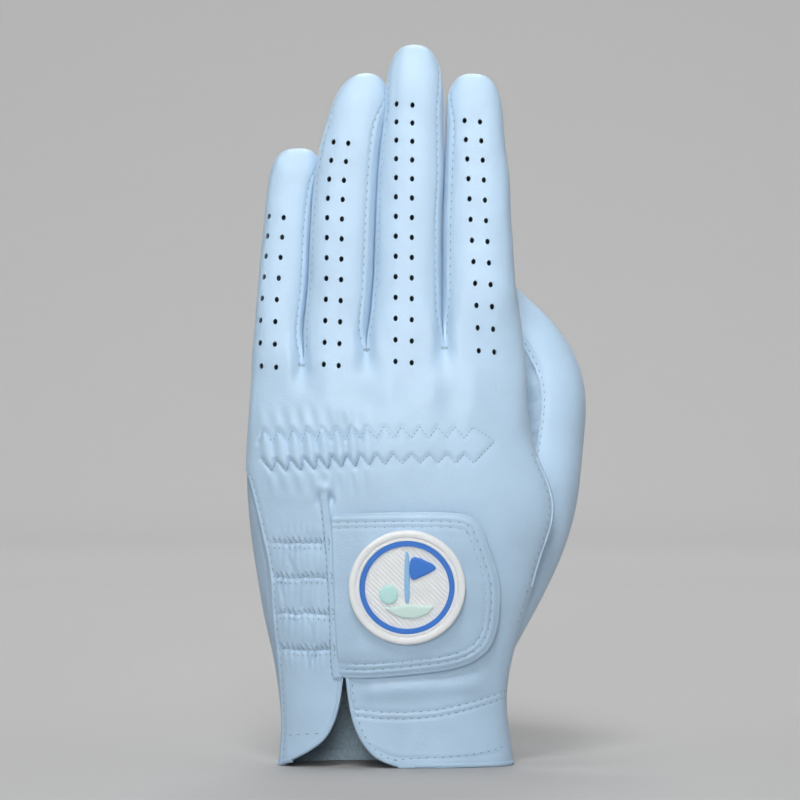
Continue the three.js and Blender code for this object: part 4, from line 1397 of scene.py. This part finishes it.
# The height, depth and half width of each.
THUMB_PUCKERS = ((124.5, -0.9, 1.5), (119.5, 0.6, 2.0), (114.5, -0.9, 1.3), (111.2, 0.5, 1.2),
                 (107.6, -0.7, 0.9), (105.4, 0.4, 0.7), (103.4, -0.5, 0.7), (101.2, 0.35, 0.6),
                 (99.4, -0.45, 0.6))


def thumb_relief(grid, sides, pucker):
    """The sewn edges of one half of the thumb, and the puckers that the seam draws in it."""
    out = np.zeros(grid.shape[:2])
    walked = walk_along(grid[:, 0])[:, None]
    for side in sides:
        edge = grid[:, :1] if side < 0 else grid[:, -1:]
        away = np.linalg.norm(grid - edge, axis=2)
        out -= 0.4 * hump(away, 1.0, 0.5)
        if pucker:
            height = grid[..., 2] + 0.5 * away
            for place, size, width in THUMB_PUCKERS:
                out += pucker * size * hump(height, place, width) * hump(away, 2.2, 3.2)
    fade = ease(0, 8, walked) * ease(0, 12, walked[-1] - walked)
    return grid + inward_safe(grid) * (out * fade)[..., None]


thumb_way = np.array((-0.09, 0.267, 0.96))
thumb_way /= np.linalg.norm(thumb_way)


def bend_thumb(made, *nodes):
    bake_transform(made)
    return shaped(made, None, "leather", *nodes)


half_turn = (THUMB_SEAM, THUMB_SEAM + math.pi, THUMB_SEAM + 2 * math.pi)
outer_half = thumb_relief(thumb_grid(*half_turn[:2], THUMB_COLUMNS), (-1, 1), 0.0)
inner_half = thumb_relief(thumb_grid(*half_turn[1:], THUMB_COLUMNS, -0.15), (-1, 1), 1.0)
bend_thumb(shell("thumb_back_leather", outer_half, LEATHER), "thumb_base_back", "thumb_stall_back")
bend_thumb(shell("thumb_palm_leather", inner_half, PALM_LEATHER), "thumb_base_palm", "thumb_stall_palm")
for name, grid, side in (("thumb_front_stitches", outer_half, -1), ("thumb_rear_stitches", outer_half, 1)):
    path, normals = inset_path(grid, side, 1.0, 60 if side > 0 else 90, 148)
    bend_thumb(stitches(name, path, normals, THREAD, 2.5, 1.3, 0.17))
right_seam = [(float(HAND_RIGHT(z)) - 1.7, z) for z in np.linspace(98, 44, 40)]
sew("thumb_base_stitches", right_seam, 2.5, 1.3, 0.17)
welt = [(float(HAND_RIGHT(z)) - 0.7, z) for z in np.linspace(96, 56, 60)]
bind("thumb_welt", welt, 0.55, 0.45, 0.0)


# ---- Inside the cuff, and the elastic ----
def inner_tape(name, x_range, z_range, out, node, step=0.9):
    """An elastic tape on the inside of the back leather."""
    xs = np.linspace(*x_range, int((x_range[1] - x_range[0]) / step) + 2)
    zs = np.linspace(*z_range, max(int((z_range[1] - z_range[0]) / step) + 2, 4))
    x, z = np.meshgrid(xs, zs)
    y = back_y(x, z) - hand_relief(x, z) * 0.8 - out
    tape = shell(name, np.stack([x, y, z], axis=-1), ELASTIC_WEAVE, 0.6, ELASTIC_WEAVE)
    return shaped(tape, "hand", "elastic", node)


inner_tape("knuckle_tape", (-45, 20), (97.0, 100.5), -1.5, "knuckle_elastic")
for k, row in enumerate(WRIST_ROWS):
    span = (float(SIDE_SEAM(row)) + 2.5, float(slit_x(row)) - 2.2)
    inner_tape(f"wrist_tape_{k + 1}", span, (row - 1.5, row + 1.5), -1.6, f"wrist_elastic_{k + 1}")


def palm_facing():
    """The suede facing inside the cuff, with its hem along the foot."""
    levels = np.concatenate([[0.25, 0.5], np.linspace(0.9, 3.4, 6), np.linspace(3.6, 19.2, 26),
                             np.linspace(19.4, 30, 14)])
    start, end, shares = math.radians(118), math.radians(262), np.linspace(0, 1, 110)
    grid = np.array([arc(level, start, end, shares, hand_section) for level in levels])
    sink = np.full(grid.shape[:2], 1.3)
    height = grid[..., 2]
    sink += (0.5 * (1 - ease(3.3, 3.8, height)) + 0.3 * ease(19.0, 19.6, height)
             - 0.3 * ease(15.6, 16.2, height))
    grid = grid - normals_of(grid) * sink[..., None]
    return shell("cuff_suede", grid, SUEDE, LEATHER_THICKNESS, SUEDE)


shaped(palm_facing(), "hand", "suede_lining", "palm_cuff_facing")


def hem_roll(name, low, high):
    """The turned edge round the foot of the cuff, between two angles."""
    row = arc(0.95, low, high, np.linspace(0, 1, 140), hand_section)
    ahead = np.gradient(row, axis=0)
    normals = unit_rows(np.stack([ahead[:, 1], -ahead[:, 0], 0 * ahead[:, 0]], axis=1))
    row[:, 2] = 0.85
    return shaped(swept(name, row, normals, ellipse(0.8, 0.65, -0.3), EDGE_LEATHER), "hand", "leather")


hem_roll("hem_right", math.radians(6), math.radians(266))


# ---- Camera, light and stage ----
VIEW_WIDTH = 250.7 * MM
LENS, SENSOR = 200.0, 36.0
LOOK_AT = Vector((-5.3 * MM, 0.0, 113.8 * MM))


def build_camera():
    data = bpy.data.cameras.new("camera")
    data.lens, data.sensor_width = LENS, SENSOR
    camera = bpy.data.objects.new("camera", data)
    bpy.context.scene.collection.objects.link(camera)
    distance = VIEW_WIDTH * LENS / SENSOR
    camera.location = LOOK_AT + Vector((0, -distance, 0))
    camera.rotation_euler = (math.radians(90), 0, 0)
    bpy.context.scene.camera = camera


def add_light(name, place, size, power_watts, target, spread=180):
    data = bpy.data.lights.new(name, "AREA")
    data.shape, data.size, data.energy, data.spread = "SQUARE", size, power_watts, math.radians(spread)
    light = bpy.data.objects.new(name, data)
    light.visible_camera = False
    bpy.context.scene.collection.objects.link(light)
    light.location = place
    light.rotation_euler = (Vector(target) - Vector(place)).to_track_quat("-Z", "Y").to_euler()


def build_stage():
    """A pale dish: a round floor that curves up into a low wall on every side."""
    floor_radius, turn, wall, count = 2.2, 0.8, 1.6, 96
    profile = [(0.001, 0.0), (1.0, 0.0), (floor_radius, 0.0)]
    for step in range(1, 13):
        angle = math.pi / 2 * step / 12
        profile.append((floor_radius + turn * math.sin(angle), turn - turn * math.cos(angle)))
    profile.append((floor_radius + turn, wall))
    turns = np.linspace(0, 2 * math.pi, count, endpoint=False)
    points = [(r * math.cos(a) / MM, r * math.sin(a) / MM, z / MM) for r, z in profile for a in turns]
    material, tree, shader = new_material("studio_paper", (0.5, 0.5, 0.5), 0.95)
    place = add_node(tree, "ShaderNodeTexCoord")
    radius = add_node(tree, "ShaderNodeVectorMath", operation="LENGTH")
    share = add_node(tree, "ShaderNodeMapRange", {"From Max": STAGE_SPAN})
    tree.links.new(place.outputs["Object"], radius.inputs[0])
    tree.links.new(radius.outputs["Value"], share.inputs["Value"])
    # The stage's grey by distance from the middle, from STAGE_GREYS: painted shade and light that cancel the
    # lamps' falloff.
    ramp = add_node(tree, "ShaderNodeValToRGB")
    while len(ramp.color_ramp.elements) < len(STAGE_GREYS):
        ramp.color_ramp.elements.new(0.5)
    for stop, (place_along, grey) in zip(ramp.color_ramp.elements, STAGE_GREYS):
        stop.position, stop.color = place_along / STAGE_SPAN, (grey, grey, grey, 1)
    tree.links.new(share.outputs["Result"], ramp.inputs["Fac"])
    tree.links.new(ramp.outputs["Color"], shader.inputs["Base Color"])
    dish = add_object("studio_dish", points, tube_faces(len(profile), count), material, 60)


STAGE_SPAN = 3.2
# Painted shade and light: the stage's grey rises from the middle outwards. It is darker near the glove where
# the lamps fall strongest and lighter towards the wall where less light reaches, so that the backdrop renders
# evenly.
STAGE_GREYS = ((0.0, 0.475), (0.3, 0.51), (1.0, 0.535), (1.4, 0.545), (1.8, 0.615), (2.4, 0.72), (3.2, 0.725))


def build_world():
    world = bpy.data.worlds.new("studio")
    world.use_nodes = True
    world.node_tree.nodes["Background"].inputs["Color"].default_value = (1.0, 1.0, 1.0, 1)
    world.node_tree.nodes["Background"].inputs["Strength"].default_value = 0.08
    bpy.context.scene.world = world
    bpy.context.scene.view_settings.view_transform = "Standard"


build_camera()
build_stage()
build_world()
add_light("key", (-0.15, -1.45, 1.85), 0.5, 22, (0, 0, 0.12))
add_light("fill", (-0.15, -1.7, 0.45), 0.5, 0.8, (0, 0, 0.1), 50)
add_light("gridded", (0.05, -1.1, 0.75), 0.2, 0.045, (0.01, 0, 0.2), 16)
add_light("top", (0.0, 0.1, 1.9), 0.9, 10, (0, 0, 0.15))
add_light("backdrop", (0.0, 1.4, 1.7), 0.8, 16, (0, 1.5, 0))
